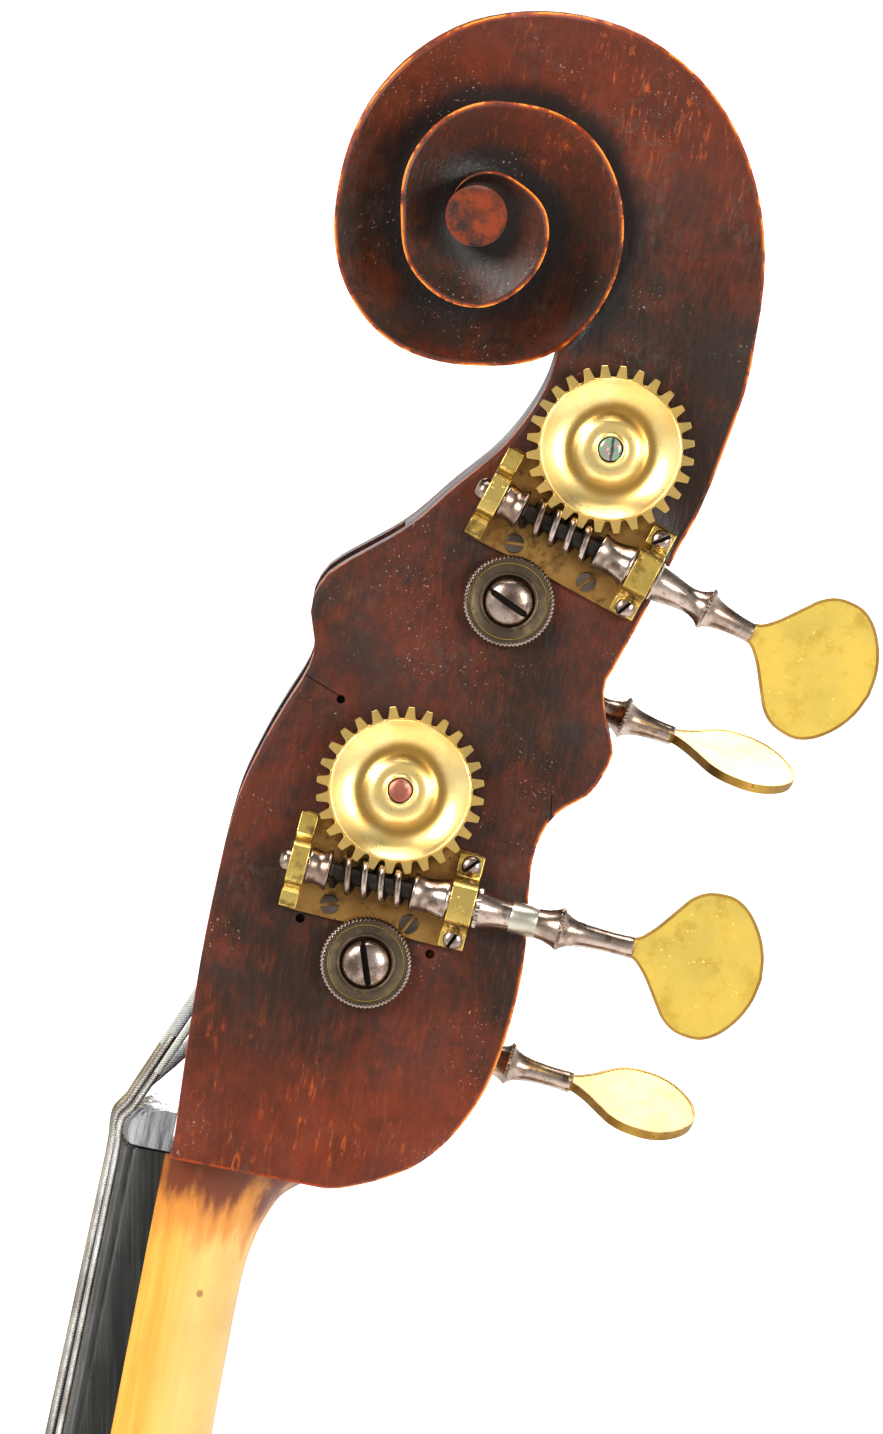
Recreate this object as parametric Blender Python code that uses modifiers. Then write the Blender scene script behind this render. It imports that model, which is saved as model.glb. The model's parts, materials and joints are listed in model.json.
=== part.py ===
"""Double bass, three-quarter size, with brass worm tuning machines.

Every length in this script is in millimetres and every angle in degrees; the
helpers at the top turn them into Blender's metres.

World frame: the origin is the middle of the endpin foot's flat underside, +Z up,
+X the treble side, -Y the front (string side).  The neck, head and tuning machines
are modelled in the neck frame: x across, b towards the back and n up along the neck,
with its origin where the nut meets the fingerboard's glue plane.
"""
import math

import bmesh
import bpy
from mathutils import Matrix, Vector
from mathutils.geometry import interpolate_bezier

MM = 0.001
GAP = 0.3                    # air left between two pieces that touch on the real bass

# ---------------------------------------------------------------- driving dimensions
COLLAR_Z = 130.0             # floor to the underside of the endpin collar
COLLAR_H = 45.0
BODY_BOTTOM_Z = COLLAR_Z + COLLAR_H
BODY_LENGTH = 1110.0
BODY_TOP_Z = BODY_BOTTOM_Z + BODY_LENGTH
FRONT_Y = -100.0             # plane where the ribs meet the top plate
BACK_Y = 100.0               # plane where the ribs meet the flat back
PLATE_T = 8.0
BACK_T = 7.0
ARCH = 31.0                  # rise of the top plate above its edge
OVERHANG = 6.0
RIB_T = 3.0
BREAK_Z = BODY_BOTTOM_Z + 820.0
BREAK_SLOPE = 40.0 / (BODY_TOP_Z - BREAK_Z)

NECK_TILT = 11.0             # the neck leans back from the plane of the top
NECK_STOP = 435.0            # nut to the top of the body, along the neck
OVERSTAND = 34.0             # glue plane of the fingerboard above the top's edge
TENON_DEPTH = 50.0
STRING_LENGTH = 1060.0
TILT = math.radians(NECK_TILT)
NUT_Y = FRONT_Y - PLATE_T - OVERSTAND + NECK_STOP * math.sin(TILT)
NUT_Z = BODY_TOP_Z + NECK_STOP * math.cos(TILT)

BOARD_LENGTH = 860.0
BOARD_EDGE = 9.0
BOARD_CROWN_R = 90.0
NUT_HALF = 21.5
BOARD_END_HALF = 44.0
NUT_DEPTH = 10.5

CHEEK_TAPER = 2.9            # each cheek of the pegbox leans in towards the scroll
HEAD_HALF = 33.5             # half width of the pegbox at the nut
SCROLL_HALF = 22.0           # half width of the scroll's outer turn
EYE_HALF = 48.0
CHEEK_T = 14.0
EYE = (32.3, 251.5)

TEETH = 28
PITCH = 4.383                # worm thread pitch, equal to the gear's circular pitch
GEAR_TIP_R = 21.4
GEAR_ROOT_R = 18.2
GEAR_W = (4.8, 9.8)
WORM_V = -24.2               # worm axis from the gear's centre
WORM_W = 7.3                 # worm axis above the cheek
WORM_ROOT_R = 2.3
WORM_TIP_R = 4.7
JOURNAL_R = 3.0
BARREL_R = 7.0
FAR_JOURNAL_R = 5.0
PLATE_W = 2.0
WINDING_R = 10.0

# for each string: side (+1 treble cheek, -1 bass cheek), gear centre (b, n), worm's slope in
# degrees, degrees the key is turned about its shaft, u where the key starts, x of the winding,
# radius of the string
MACHINES = {
    "g": dict(side=1, centre=(41.3, 103.6), slope=3.3, key_turn=0.0, key_at=66.8, winding=5.5,
              radius=0.9),
    "d": dict(side=1, centre=(77.3, 198.9), slope=17.2, key_turn=0.0, key_at=53.4, winding=4.0,
              radius=1.1),
    "a": dict(side=-1, centre=(59.4, 158.6), slope=9.6, key_turn=79.0, key_at=53.8, winding=-5.5,
              radius=1.35),
    "e": dict(side=-1, centre=(41.1, 61.7), slope=6.1, key_turn=75.0, key_at=61.8, winding=-7.0,
              radius=1.6),
}
WINDING_HALF = 4.5
STRING_X = {"g": 15.9, "d": 5.3, "a": -5.3, "e": -15.9}      # at the nut
BRIDGE_X = {"g": 45.0, "d": 15.0, "a": -15.0, "e": -45.0}    # at the bridge

MATERIALS = {
    # slot: (colour, roughness, metallic)
    "varnish": ((0.10, 0.025, 0.014), 0.38, 0.0),
    "neck_wood": ((0.70, 0.42, 0.13), 0.42, 0.0),
    "spruce": ((0.42, 0.16, 0.05), 0.36, 0.0),
    "maple": ((0.28, 0.09, 0.03), 0.36, 0.0),
    "inner_wood": ((0.72, 0.52, 0.30), 0.70, 0.0),
    "ebony": ((0.022, 0.024, 0.022), 0.30, 0.0),
    "brass": ((0.72, 0.52, 0.17), 0.30, 1.0),
    "worn_steel": ((0.40, 0.33, 0.28), 0.34, 1.0),
    "dark_steel": ((0.16, 0.14, 0.12), 0.42, 1.0),
    "string_steel": ((0.55, 0.53, 0.50), 0.30, 1.0),
    "bridge_maple": ((0.66, 0.44, 0.22), 0.50, 0.0),
    "bright_steel": ((0.62, 0.62, 0.62), 0.22, 1.0),
    "rubber": ((0.02, 0.02, 0.02), 0.80, 0.0),
}


# ---------------------------------------------------------------- scene and helpers
for old in list(bpy.data.objects):
    bpy.data.objects.remove(old, do_unlink=True)

parts = bpy.data.collections.new("double_bass")
bpy.context.scene.collection.children.link(parts)
cutters = bpy.data.collections.new("cutters")
bpy.context.scene.collection.children.link(cutters)
made_materials = {}


def material(slot):
    """The Principled material of one slot, made once."""
    if slot not in made_materials:
        colour, roughness, metallic = MATERIALS[slot]
        item = bpy.data.materials.new(slot)
        item.use_nodes = True
        shader = item.node_tree.nodes["Principled BSDF"]
        shader.inputs["Base Color"].default_value = (*colour, 1.0)
        shader.inputs["Roughness"].default_value = roughness
        shader.inputs["Metallic"].default_value = metallic
        item.diffuse_color = (*colour, 1.0)
        made_materials[slot] = item
    return made_materials[slot]


def empty(name, matrix, parent=None):
    """A frame to model in; matrix is in its parent's frame, in metres."""
    item = bpy.data.objects.new(name, None)
    item.empty_display_size = 0.02
    parts.objects.link(item)
    item.parent = parent
    item.matrix_basis = matrix
    return item


def add(name, mesh, slot, parent=None):
    """Put a mesh in the scene; one with no slot is a cutter."""
    item = bpy.data.objects.new(name, mesh)
    item.parent = parent
    if slot is None:
        cutters.objects.link(item)
        item.display_type = "WIRE"
        item.hide_render = True
    else:
        mesh.materials.append(material(slot))
        parts.objects.link(item)
    return item


def outward(bm):
    """Make a closed mesh's faces point out."""
    bmesh.ops.recalc_face_normals(bm, faces=bm.faces)
    if bm.calc_volume(signed=True) < 0.0:
        bmesh.ops.reverse_faces(bm, faces=bm.faces)


def mesh_from(name, bm):
    mesh = bpy.data.meshes.new(name)
    bm.to_mesh(mesh)
    bm.free()
    return mesh


def loft(name, rings, slot, parent=None):
    """A closed solid through rings of points, all with the same count."""
    bm = bmesh.new()
    rows = [[bm.verts.new(Vector(p) * MM) for p in ring] for ring in rings]
    for low, high in zip(rows, rows[1:]):
        for i in range(len(low)):
            j = (i + 1) % len(low)
            bm.faces.new((low[i], low[j], high[j], high[i]))
    bm.faces.new(rows[0])
    bm.faces.new(rows[-1])
    outward(bm)
    return add(name, mesh_from(name, bm), slot, parent)


def settle(item):
    """Turn a curve, or a mesh with modifiers, into a plain closed mesh."""
    bpy.context.view_layer.update()
    graph = bpy.context.evaluated_depsgraph_get()
    mesh = bpy.data.meshes.new_from_object(item.evaluated_get(graph))
    bm = bmesh.new()
    bm.from_mesh(mesh)
    bmesh.ops.remove_doubles(bm, verts=bm.verts, dist=0.00001)
    outward(bm)
    bm.to_mesh(mesh)
    bm.free()
    plain = bpy.data.objects.new("settled", mesh)
    for collection in item.users_collection:
        collection.objects.link(plain)
    plain.parent = item.parent
    plain.matrix_basis = item.matrix_basis
    plain.display_type = item.display_type
    plain.hide_render = item.hide_render
    name = item.name
    bpy.data.objects.remove(item, do_unlink=True)
    plain.name = name
    return plain


def plate(name, outlines, half, slot, parent=None):
    """A flat plate: closed outlines in x and y, extruded by half each way in z."""
    curve = bpy.data.curves.new(name, "CURVE")
    curve.dimensions = "2D"
    curve.fill_mode = "BOTH"
    curve.extrude = half * MM
    for outline in outlines:
        spline = curve.splines.new("POLY")
        spline.points.add(len(outline) - 1)
        for point, (x, y) in zip(spline.points, outline):
            point.co = (x * MM, y * MM, 0.0, 1.0)
        spline.use_cyclic_u = True
    return settle(add(name, curve, slot, parent))


def turned(name, profile, slot, parent=None, steps=24, ring=False):
    """A turned solid about z; profile is (radius, z) from the top down the outside."""
    mesh = bpy.data.meshes.new(name)
    edges = [(i, i + 1) for i in range(len(profile) - 1)]
    if ring:
        edges.append((len(profile) - 1, 0))
    mesh.from_pydata([(r * MM, 0.0, z * MM) for r, z in profile], edges, [])
    item = add(name, mesh, slot, parent)
    screw = item.modifiers.new("turn", "SCREW")
    screw.axis = "Z"
    screw.steps = steps
    screw.render_steps = steps
    screw.use_merge_vertices = True
    screw.merge_threshold = 0.00001
    return settle(item)


def tube(name, points, radius, slot, parent=None, sides=2):
    """A round bar through the points."""
    curve = bpy.data.curves.new(name, "CURVE")
    curve.dimensions = "3D"
    curve.bevel_depth = radius * MM
    curve.bevel_resolution = sides
    curve.use_fill_caps = True
    spline = curve.splines.new("POLY")
    spline.points.add(len(points) - 1)
    for point, place in zip(spline.points, points):
        point.co = (*(Vector(place) * MM), 1.0)
    return settle(add(name, curve, slot, parent))


def boolean(item, other, operation):
    """Cut or join with another object, and settle the result."""
    step = item.modifiers.new("boolean", "BOOLEAN")
    step.operation = operation
    step.solver = "EXACT"
    step.object = other
    result = settle(item)
    if operation == "UNION":
        bpy.data.objects.remove(other, do_unlink=True)
    return result


def arc(centre, radius, start, end, count):
    """Points on a circle, from one angle to another."""
    points = []
    for i in range(count + 1):
        angle = math.radians(start + (end - start) * i / count)
        points.append((centre[0] + radius * math.cos(angle), centre[1] + radius * math.sin(angle)))
    return points


def smooth(points, per_span=3):
    """A Catmull-Rom curve through the points."""
    result = []
    last = len(points) - 1
    for i in range(last):
        p0 = Vector(points[max(i - 1, 0)])
        p1 = Vector(points[i])
        p2 = Vector(points[i + 1])
        p3 = Vector(points[min(i + 2, last)])
        for step in range(per_span):
            t = step / per_span
            place = 0.5 * (2.0 * p1 + (p2 - p0) * t + (2.0 * p0 - 5.0 * p1 + 4.0 * p2 - p3) * t * t
                           + (3.0 * p1 - p0 - 3.0 * p2 + p3) * t ** 3)
            result.append(tuple(place))
    result.append(tuple(points[last]))
    return result


def interpolate(table, x):
    """Straight-line interpolation in a table of (x, value) rows."""
    for (x0, y0), (x1, y1) in zip(table, table[1:]):
        if x <= x1:
            return y0 + (y1 - y0) * max(0.0, x - x0) / (x1 - x0)
    return table[-1][1]


neck_matrix = Matrix.Translation(Vector((0.0, NUT_Y, NUT_Z)) * MM) @ Matrix.Rotation(-TILT, 4, "X")
neck_frame = empty("neck_frame", neck_matrix)


def neck_to_world(x, b, n):
    """A neck-frame point in world millimetres."""
    return Vector((x, NUT_Y + b * math.cos(TILT) + n * math.sin(TILT),
                   NUT_Z - b * math.sin(TILT) + n * math.cos(TILT)))


def world_to_neck(x, y, z):
    dy = y - NUT_Y
    dz = z - NUT_Z
    return (x, dy * math.cos(TILT) - dz * math.sin(TILT), dy * math.sin(TILT) + dz * math.cos(TILT))


# ---------------------------------------------------------------- body outline
def bezier(start, handle1, handle2, end, count):
    points = interpolate_bezier(start, handle1, handle2, end, count + 1)
    return [(p[0], p[1]) for p in points]


LOWER_TIP = (276.0, 470.0)
UPPER_TIP = (226.0, 742.0)
NECK_SIDE = (30.0, BODY_LENGTH)
# each bout as Bezier spans in x and height above the body's bottom
LOWER_BOUT = [((0, 0), (175, 0), (330, 110), (330, 292)),
              ((330, 292), (330, 372), (262, 410), LOWER_TIP)]
CENTRE_BOUT = [(LOWER_TIP, (222, 488), (182.5, 540), (182.5, 606)),
               ((182.5, 606), (182.5, 662), (196, 722), UPPER_TIP)]
UPPER_BOUT = [(UPPER_TIP, (226, 775), (255, 790), (255, 852)),
              ((255, 852), (255, 960), (90, 1010), NECK_SIDE)]


def bout(spans, count):
    points = []
    for a, b, c, d in spans:
        span = bezier(Vector((*a, 0)), Vector((*b, 0)), Vector((*c, 0)), Vector((*d, 0)), count)
        points.extend(span if not points else span[1:])
    return points


def inset(points, distance):
    """Move a line of outline points towards the inside of the body."""
    result = []
    for i, here in enumerate(points):
        before = Vector(points[max(i - 1, 0)])
        after = Vector(points[min(i + 1, len(points) - 1)])
        along = (after - before).normalized()
        if i == 0 and abs(here[0]) < 0.001:
            along = Vector((1.0, 0.0))
        result.append((here[0] - along.y * distance, here[1] + along.x * distance))
    return result


def back_plane(z):
    """World y where the ribs meet the back, at world height z."""
    return BACK_Y - max(0.0, z - BREAK_Z) * BREAK_SLOPE


def half_outline(count):
    return bout(LOWER_BOUT, count) + bout(CENTRE_BOUT, count)[1:] + bout(UPPER_BOUT, count)[1:]


def mirror_outline(points):
    """Close a half outline with its mirror image."""
    return points + [(-x, z) for x, z in reversed(points) if x > 0.001]


# ---------------------------------------------------------------- plates
def heel_ring(height, front, back, half_front, half_back, grow=0.0):
    """A level section of the heel: a box with its back corners rounded off."""
    f = front - grow
    k = back + grow
    hf = half_front + grow
    hb = half_back + grow
    corner = 12.0
    right = [(hf, f), (hf * 0.5 + hb * 0.5, (f + k) / 2), (hb, k - corner), (hb - 5.0, k - 3.0),
             (hb - corner, k)]
    left = [(-x, y) for x, y in reversed(right)]
    return [(x, y, height) for x, y in right + left]


def heel_rings(grow=0.0):
    front = FRONT_Y - PLATE_T - OVERSTAND + GAP
    slope = math.tan(TILT)
    foot = BODY_TOP_Z - TENON_DEPTH - grow
    top = BODY_TOP_Z + 16.0
    return [heel_ring(foot, front - (BODY_TOP_Z - foot) * slope, 61.5, 27.0, 22.0, grow),
            heel_ring(top, front + (top - BODY_TOP_Z) * slope, 55.0, 27.0, 22.0, grow)]


def f_hole(side):
    """Outline of one f-hole as a slender S with round ends, world x and z."""
    middle = BODY_BOTTOM_Z + 512.0
    spine = smooth([(96, 92), (84, 84), (86, 68), (104, 34), (126, 0), (146, -34), (164, -68),
                    (166, -84), (154, -92)], 2)
    widths = [(0.0, 8.0), (0.12, 3.6), (0.5, 7.5), (0.88, 3.6), (1.0, 8.0)]
    right = []
    left = []
    for i, (x, z) in enumerate(spine):
        before = Vector(spine[max(i - 1, 0)])
        after = Vector(spine[min(i + 1, len(spine) - 1)])
        along = (after - before).normalized()
        half = interpolate(widths, i / (len(spine) - 1))
        right.append((x + along.y * half, z - along.x * half))
        left.append((x - along.y * half, z + along.x * half))
    outline = right + list(reversed(left))
    return [(side * x, middle + z) for x, z in outline]


def upright(item):
    """Turn a plate drawn in x and y to stand in x and z, its thickness along y."""
    item.matrix_basis = Matrix.Rotation(math.radians(90.0), 4, "X")
    return item


def make_top_plate():
    outline = half_outline(5) + [(0.0, BODY_LENGTH)]
    levels = [(1.0, 0.0), (0.925, 0.0), (0.80, 0.28), (0.60, 0.70), (0.34, 0.94), (0.0, 1.0)]
    middle = 560.0
    bm = bmesh.new()
    for side in (1, -1):
        rows = []
        for share, rise in levels:
            row = []
            for x, z in outline:
                spine_z = middle + (z - middle) * 0.62
                place = (side * x * share, FRONT_Y - PLATE_T - ARCH * rise,
                         BODY_BOTTOM_Z + spine_z + (z - spine_z) * share)
                row.append(bm.verts.new(Vector(place) * MM))
            rows.append(row)
        for outer, inner in zip(rows, rows[1:]):
            for i in range(len(outer) - 1):
                bm.faces.new((outer[i], outer[i + 1], inner[i + 1], inner[i]))
    bmesh.ops.remove_doubles(bm, verts=bm.verts, dist=0.00001)
    bmesh.ops.recalc_face_normals(bm, faces=bm.faces)
    if sum(f.normal.y for f in bm.faces) > 0.0:
        bmesh.ops.reverse_faces(bm, faces=bm.faces)
    item = add("top_plate", mesh_from("top_plate", bm), "spruce")
    shell = item.modifiers.new("shell", "SOLIDIFY")
    shell.thickness = PLATE_T * MM
    shell.offset = -1.0
    item = settle(item)
    for side in (1, -1):
        cutter = upright(plate("f_hole_cutter", [f_hole(side)], 60.0, None))
        cutter.location.y = (FRONT_Y - 40.0) * MM
        item = boolean(item, cutter, "DIFFERENCE")
    return boolean(item, heel_cutter, "DIFFERENCE")


def make_back_plate():
    outline = [(x, z + BODY_BOTTOM_Z) for x, z in half_outline(7)]
    button = arc((0.0, BODY_TOP_Z + 6.0), 25.0, 0.0, 90.0, 5)
    item = upright(plate("back_plate", [mirror_outline(outline + button)], BACK_T / 2, "maple"))
    item.data.transform(item.matrix_basis)
    item.matrix_basis = Matrix.Identity(4)
    bm = bmesh.new()
    bm.from_mesh(item.data)
    bmesh.ops.bisect_plane(bm, geom=bm.verts[:] + bm.edges[:] + bm.faces[:],
                           plane_co=(0.0, 0.0, BREAK_Z * MM), plane_no=(0.0, 0.0, 1.0))
    for vert in bm.verts:
        vert.co.y += (back_plane(vert.co.z / MM) + GAP + BACK_T / 2) * MM
    bm.to_mesh(item.data)
    bm.free()
    return item


# ---------------------------------------------------------------- ribs and blocks
def rib(name, points, cuts):
    """A bent strip of rib along outline points, trimmed by upright planes."""
    outer = inset(points, OVERHANG)
    inner = inset(points, OVERHANG + RIB_T)
    rings = []
    for (xo, zo), (xi, zi) in zip(outer, inner):
        z_out = zo + BODY_BOTTOM_Z
        z_in = zi + BODY_BOTTOM_Z
        rings.append([(xo, FRONT_Y + GAP, z_out), (xo, back_plane(z_out), z_out),
                      (xi, back_plane(z_in), z_in), (xi, FRONT_Y + GAP, z_in)])
    item = loft(name, rings, "maple")
    bm = bmesh.new()
    bm.from_mesh(item.data)
    for (px, pz), (nx, nz) in cuts:
        tip = Vector((px, 0.0, pz + BODY_BOTTOM_Z)) * MM
        near = [v for v in bm.verts if math.hypot(v.co.x - tip.x, v.co.z - tip.z) < 60.0 * MM]
        edges = {e for v in near for e in v.link_edges}
        faces = {f for v in near for f in v.link_faces}
        cut = bmesh.ops.bisect_plane(bm, geom=near + list(edges) + list(faces), plane_co=tip,
                                     plane_no=(nx, 0.0, nz), clear_outer=True)
        edges = [e for e in cut["geom_cut"] if isinstance(e, bmesh.types.BMEdge)]
        bmesh.ops.holes_fill(bm, edges=edges)
    outward(bm)
    bm.to_mesh(item.data)
    bm.free()
    return item


def mitre(tip, before, after):
    """The plane that splits a corner: its point and the normal towards 'after'."""
    into_before = (Vector(before) - Vector(tip)).normalized()
    into_after = (Vector(after) - Vector(tip)).normalized()
    bisector = (into_before + into_after).normalized()
    normal = Vector((bisector.y, -bisector.x))
    if normal.dot(into_after) < 0.0:
        normal = -normal
    return Vector(tip), normal


def trimmed(tip, normal, keep_after):
    """A cut that keeps one side of a mitre, less half a gap."""
    sign = 1.0 if keep_after else -1.0
    place = tip + normal * sign * GAP * 0.6
    direction = -normal * sign
    return (tuple(place), tuple(direction))


def mirrored(points):
    return [(-x, z) for x, z in points]


def mirrored_cut(cut):
    return ((-cut[0][0], cut[0][1]), (-cut[1][0], cut[1][1]))


def crossing(line_a, line_b):
    """First crossing of two lines of points, with each line's span number."""
    for i in range(len(line_a) - 1):
        for j in range(len(line_b) - 1):
            p = Vector(line_a[i])
            r = Vector(line_a[i + 1]) - p
            q = Vector(line_b[j])
            s = Vector(line_b[j + 1]) - q
            det = r.x * s.y - r.y * s.x
            if abs(det) < 1e-9:
                continue
            t = ((q - p).x * s.y - (q - p).y * s.x) / det
            u = ((q - p).x * r.y - (q - p).y * r.x) / det
            if 0.0 <= t <= 1.0 and 0.0 <= u <= 1.0:
                return i, j, tuple(p + r * t)
    return None


def make_ribs():
    lower = bout(LOWER_BOUT, 8)
    centre = bout(CENTRE_BOUT, 8)
    upper = bout(UPPER_BOUT, 8)
    low_tip, low_normal = mitre(LOWER_TIP, lower[-2], centre[1])
    up_tip, up_normal = mitre(UPPER_TIP, centre[-2], upper[1])
    low_end = trimmed(low_tip, low_normal, False)
    low_start = trimmed(low_tip, low_normal, True)
    up_end = trimmed(up_tip, up_normal, False)
    up_start = trimmed(up_tip, up_normal, True)
    whole_lower = mirrored(list(reversed(lower)))[:-1] + lower
    rib("rib_lower", whole_lower, [low_end, mirrored_cut(low_end)])
    rib("rib_centre_treble", centre, [low_start, up_end])
    rib("rib_upper_treble", upper, [up_start])
    rib("rib_centre_bass", mirrored(list(reversed(centre))), [mirrored_cut(low_start), mirrored_cut(up_end)])
    rib("rib_upper_bass", mirrored(list(reversed(upper))), [mirrored_cut(up_start)])
    for name in ("rib_upper_treble", "rib_upper_bass"):
        boolean(bpy.data.objects[name], heel_cutter, "DIFFERENCE")
    corner_block("corner_block_lower", lower, centre, 40.0, 34.0)
    corner_block("corner_block_upper", centre, upper, 30.0, 38.0)


def near_tip(points, tip, reach):
    return [p for p in points if (Vector(p) - Vector(tip)).length < reach]


def corner_block(name, before, after, reach_before, reach_after):
    """A block in the corner between two bouts, one on each side of the bass."""
    depth = OVERHANG + RIB_T + 4.0 * GAP
    fine = 6
    first = smooth(inset(before, depth), fine)
    second = smooth(inset(after, depth), fine)
    i, j, corner = crossing(list(reversed(first)), second)
    i = len(first) - 1 - i
    outline = near_tip(first[:i], corner, reach_before)[::4] + [corner]
    outline += near_tip(second[j + 1:], corner, reach_after)[::4]
    z_top = max(z for x, z in outline) + BODY_BOTTOM_Z
    front = FRONT_Y + GAP
    back = back_plane(z_top) - GAP
    for suffix, side in (("treble", 1), ("bass", -1)):
        shape = [(side * x, z + BODY_BOTTOM_Z) for x, z in outline]
        block = upright(plate(name + "_" + suffix, [shape], (back - front) / 2, "inner_wood"))
        block.location.y = (front + back) / 2 * MM


def block_outline(half, low, high):
    return [(-half, low), (half, low), (half, high), (-half, high)]


def make_blocks():
    front = FRONT_Y + GAP
    # top block, shaped to the shoulders and pocketed for the heel's tenon
    shoulder = smooth(inset(bout(UPPER_BOUT, 8), OVERHANG + RIB_T + GAP), 4)
    right = [(x, z + BODY_BOTTOM_Z) for x, z in shoulder if x > 33.0 and z > BODY_LENGTH - 96.0][::3]
    shape = right + [(-x, z) for x, z in reversed(right)]
    back = back_plane(BODY_TOP_Z) - GAP
    block = upright(plate("top_block", [shape], (back - front) / 2, "inner_wood"))
    block.location.y = (front + back) / 2 * MM
    boolean(block, heel_cutter, "DIFFERENCE")
    # bottom block, bored for the endpin
    low = BODY_BOTTOM_Z + OVERHANG + RIB_T + 6.0
    shape = block_outline(55.0, low, BODY_BOTTOM_Z + 62.0)
    block = upright(plate("bottom_block", [shape], (BACK_Y - GAP - front) / 2, "inner_wood"))
    block.location.y = (front + BACK_Y - GAP) / 2 * MM
    bore = turned("endpin_bore", [(0, BODY_BOTTOM_Z + 90), (COLLAR_STEM_R + GAP, BODY_BOTTOM_Z + 90),
                                  (COLLAR_STEM_R + GAP, BODY_BOTTOM_Z - 30), (0, BODY_BOTTOM_Z - 30)],
                  None, steps=32)
    boolean(block, bore, "DIFFERENCE")
    boolean(bpy.data.objects["rib_lower"], bore, "DIFFERENCE")


# ---------------------------------------------------------------- inside the body
def top_hit(x, z, from_front):
    """World y of the top plate's outer or inner face at x and z."""
    bpy.context.view_layer.update()
    top = bpy.data.objects["top_plate"]
    start = Vector((x, -400.0 if from_front else 0.0, z)) * MM
    direction = Vector((0.0, 1.0 if from_front else -1.0, 0.0))
    hit, place, _, _ = top.ray_cast(start, direction)
    return place.y / MM if hit else FRONT_Y


def make_bass_bar():
    centre = -52.0
    half = 12.0
    base = BODY_BOTTOM_Z + 190.0
    length = 620.0
    count = 10
    rings = []
    for i in range(count + 1):
        z = base + length * i / count
        x = centre + (i / count - 0.5) * 18.0
        edge = max(top_hit(x - half, z, False), top_hit(x + half, z, False)) + 0.8
        depth = 6.0 + 24.0 * math.sin(math.pi * i / count)
        rings.append([(x - half, edge, z), (x + half, edge, z),
                      (x + half - 4.0, edge + depth, z), (x - half + 4.0, edge + depth, z)])
    loft("bass_bar", rings, "inner_wood")


def make_sound_post():
    x = 52.0
    z = BRIDGE_Z - 32.0
    front = max(top_hit(x + dx, z + dz, False) for dx in (-9, 9) for dz in (-9, 9)) + 0.5
    post = turned("sound_post", [(0, BACK_Y - GAP), (9, BACK_Y - GAP), (9, front), (0, front)],
                  "inner_wood", steps=20)
    place = Matrix.Translation(Vector((x, 0.0, z)) * MM)
    post.matrix_basis = place @ Matrix.Rotation(-math.pi / 2, 4, "X")


def half_width(z):
    """Half width of the outline at a height above the body's bottom."""
    points = half_outline(8)
    for (x0, z0), (x1, z1) in zip(points, points[1:]):
        if z0 <= z <= z1 or z1 <= z <= z0:
            return x0 + (x1 - x0) * (z - z0) / (z1 - z0 if z1 != z0 else 1.0)
    return 0.0


def bar(name, low, high, slot):
    """A box between two corners."""
    bm = bmesh.new()
    bmesh.ops.create_cube(bm, size=1.0)
    for vert in bm.verts:
        vert.co = Vector(h if c > 0.0 else l for c, l, h in zip(vert.co, low, high)) * MM
    return add(name, mesh_from(name, bm), slot)


def make_back_brace():
    """Cross bars on the flat back, joined by the strip along its centre seam."""
    back = BACK_Y - GAP
    brace = bar("back_brace", (-20.0, back - 5.0, BODY_BOTTOM_Z + 80.0),
                (20.0, back, BODY_BOTTOM_Z + 810.0), "inner_wood")
    for height in (150.0, 320.0, 560.0, 790.0):
        half = half_width(height) - OVERHANG - RIB_T - 14.0
        cross = bar("cross", (-half, back - 21.0, BODY_BOTTOM_Z + height - 12.0),
                    (half, back, BODY_BOTTOM_Z + height + 12.0), "inner_wood")
        brace = boolean(brace, cross, "UNION")


# ---------------------------------------------------------------- neck, board and nut
def neck_half(n):
    """Half width of the neck and board's underside at n below the nut."""
    return NUT_HALF + (BOARD_END_HALF - NUT_HALF) * (-n) / BOARD_LENGTH


def neck_ring(n_front, n_back, depth, half, count=10):
    """A D-shaped section between a front point on the glue plane and a back point."""
    ring = []
    for i in range(count + 1):
        angle = math.pi * i / count
        reach = math.sin(angle) ** 0.8 if 0 < i < count else 0.0
        across = math.copysign(abs(math.cos(angle)) ** 0.75, math.cos(angle)) if i != count / 2 else 0.0
        ring.append((half * across, GAP + (depth - GAP) * reach, n_front + (n_back - n_front) * reach))
    return ring


def make_neck():
    rows = [(-GAP, 42.0), (-3.0, 36.5), (-7.3, 31.7), (-14.5, 28.4), (-23.0, 26.4), (-36.0, 25.5),
            (-120.0, 26.5), (-220.0, 28.5), (-310.0, 32.0), (-350.0, 38.0)]
    rings = [neck_ring(n, n, depth, neck_half(n)) for n, depth in rows]
    # the heel sweeps back to the button, its sections turning level with the body
    for world_z, world_y in ((BODY_TOP_Z + 56.0, 5.0), (BODY_TOP_Z + 34.0, 34.0), (BODY_TOP_Z + 5.0, 56.0)):
        _, b, n = world_to_neck(0.0, world_y, world_z)
        n_front = -NECK_STOP + (world_z - BODY_TOP_Z) / math.cos(TILT) + 4.0
        rings.append(neck_ring(n_front, n, b, 27.5))
    neck = loft("neck", rings, "neck_wood", neck_frame)
    button_rings = [[world_to_neck(*p) for p in ring] for ring in heel_rings()]
    heel = loft("heel", button_rings, "neck_wood", neck_frame)
    return boolean(neck, heel, "UNION")


def make_fingerboard():
    rings = []
    for n in (-GAP, -300.0, -BOARD_LENGTH):
        half = neck_half(n)
        drop = math.sqrt(BOARD_CROWN_R ** 2 - half ** 2)
        ring = [(half, 0.0, n), (half, -BOARD_EDGE, n)]
        for i in range(1, 8):
            x = half * (1.0 - i / 4.0)
            ring.append((x, -BOARD_EDGE - (math.sqrt(BOARD_CROWN_R ** 2 - x ** 2) - drop), n))
        ring += [(-half, -BOARD_EDGE, n), (-half, 0.0, n)]
        rings.append(ring)
    return loft("fingerboard", rings, "ebony", neck_frame)


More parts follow.
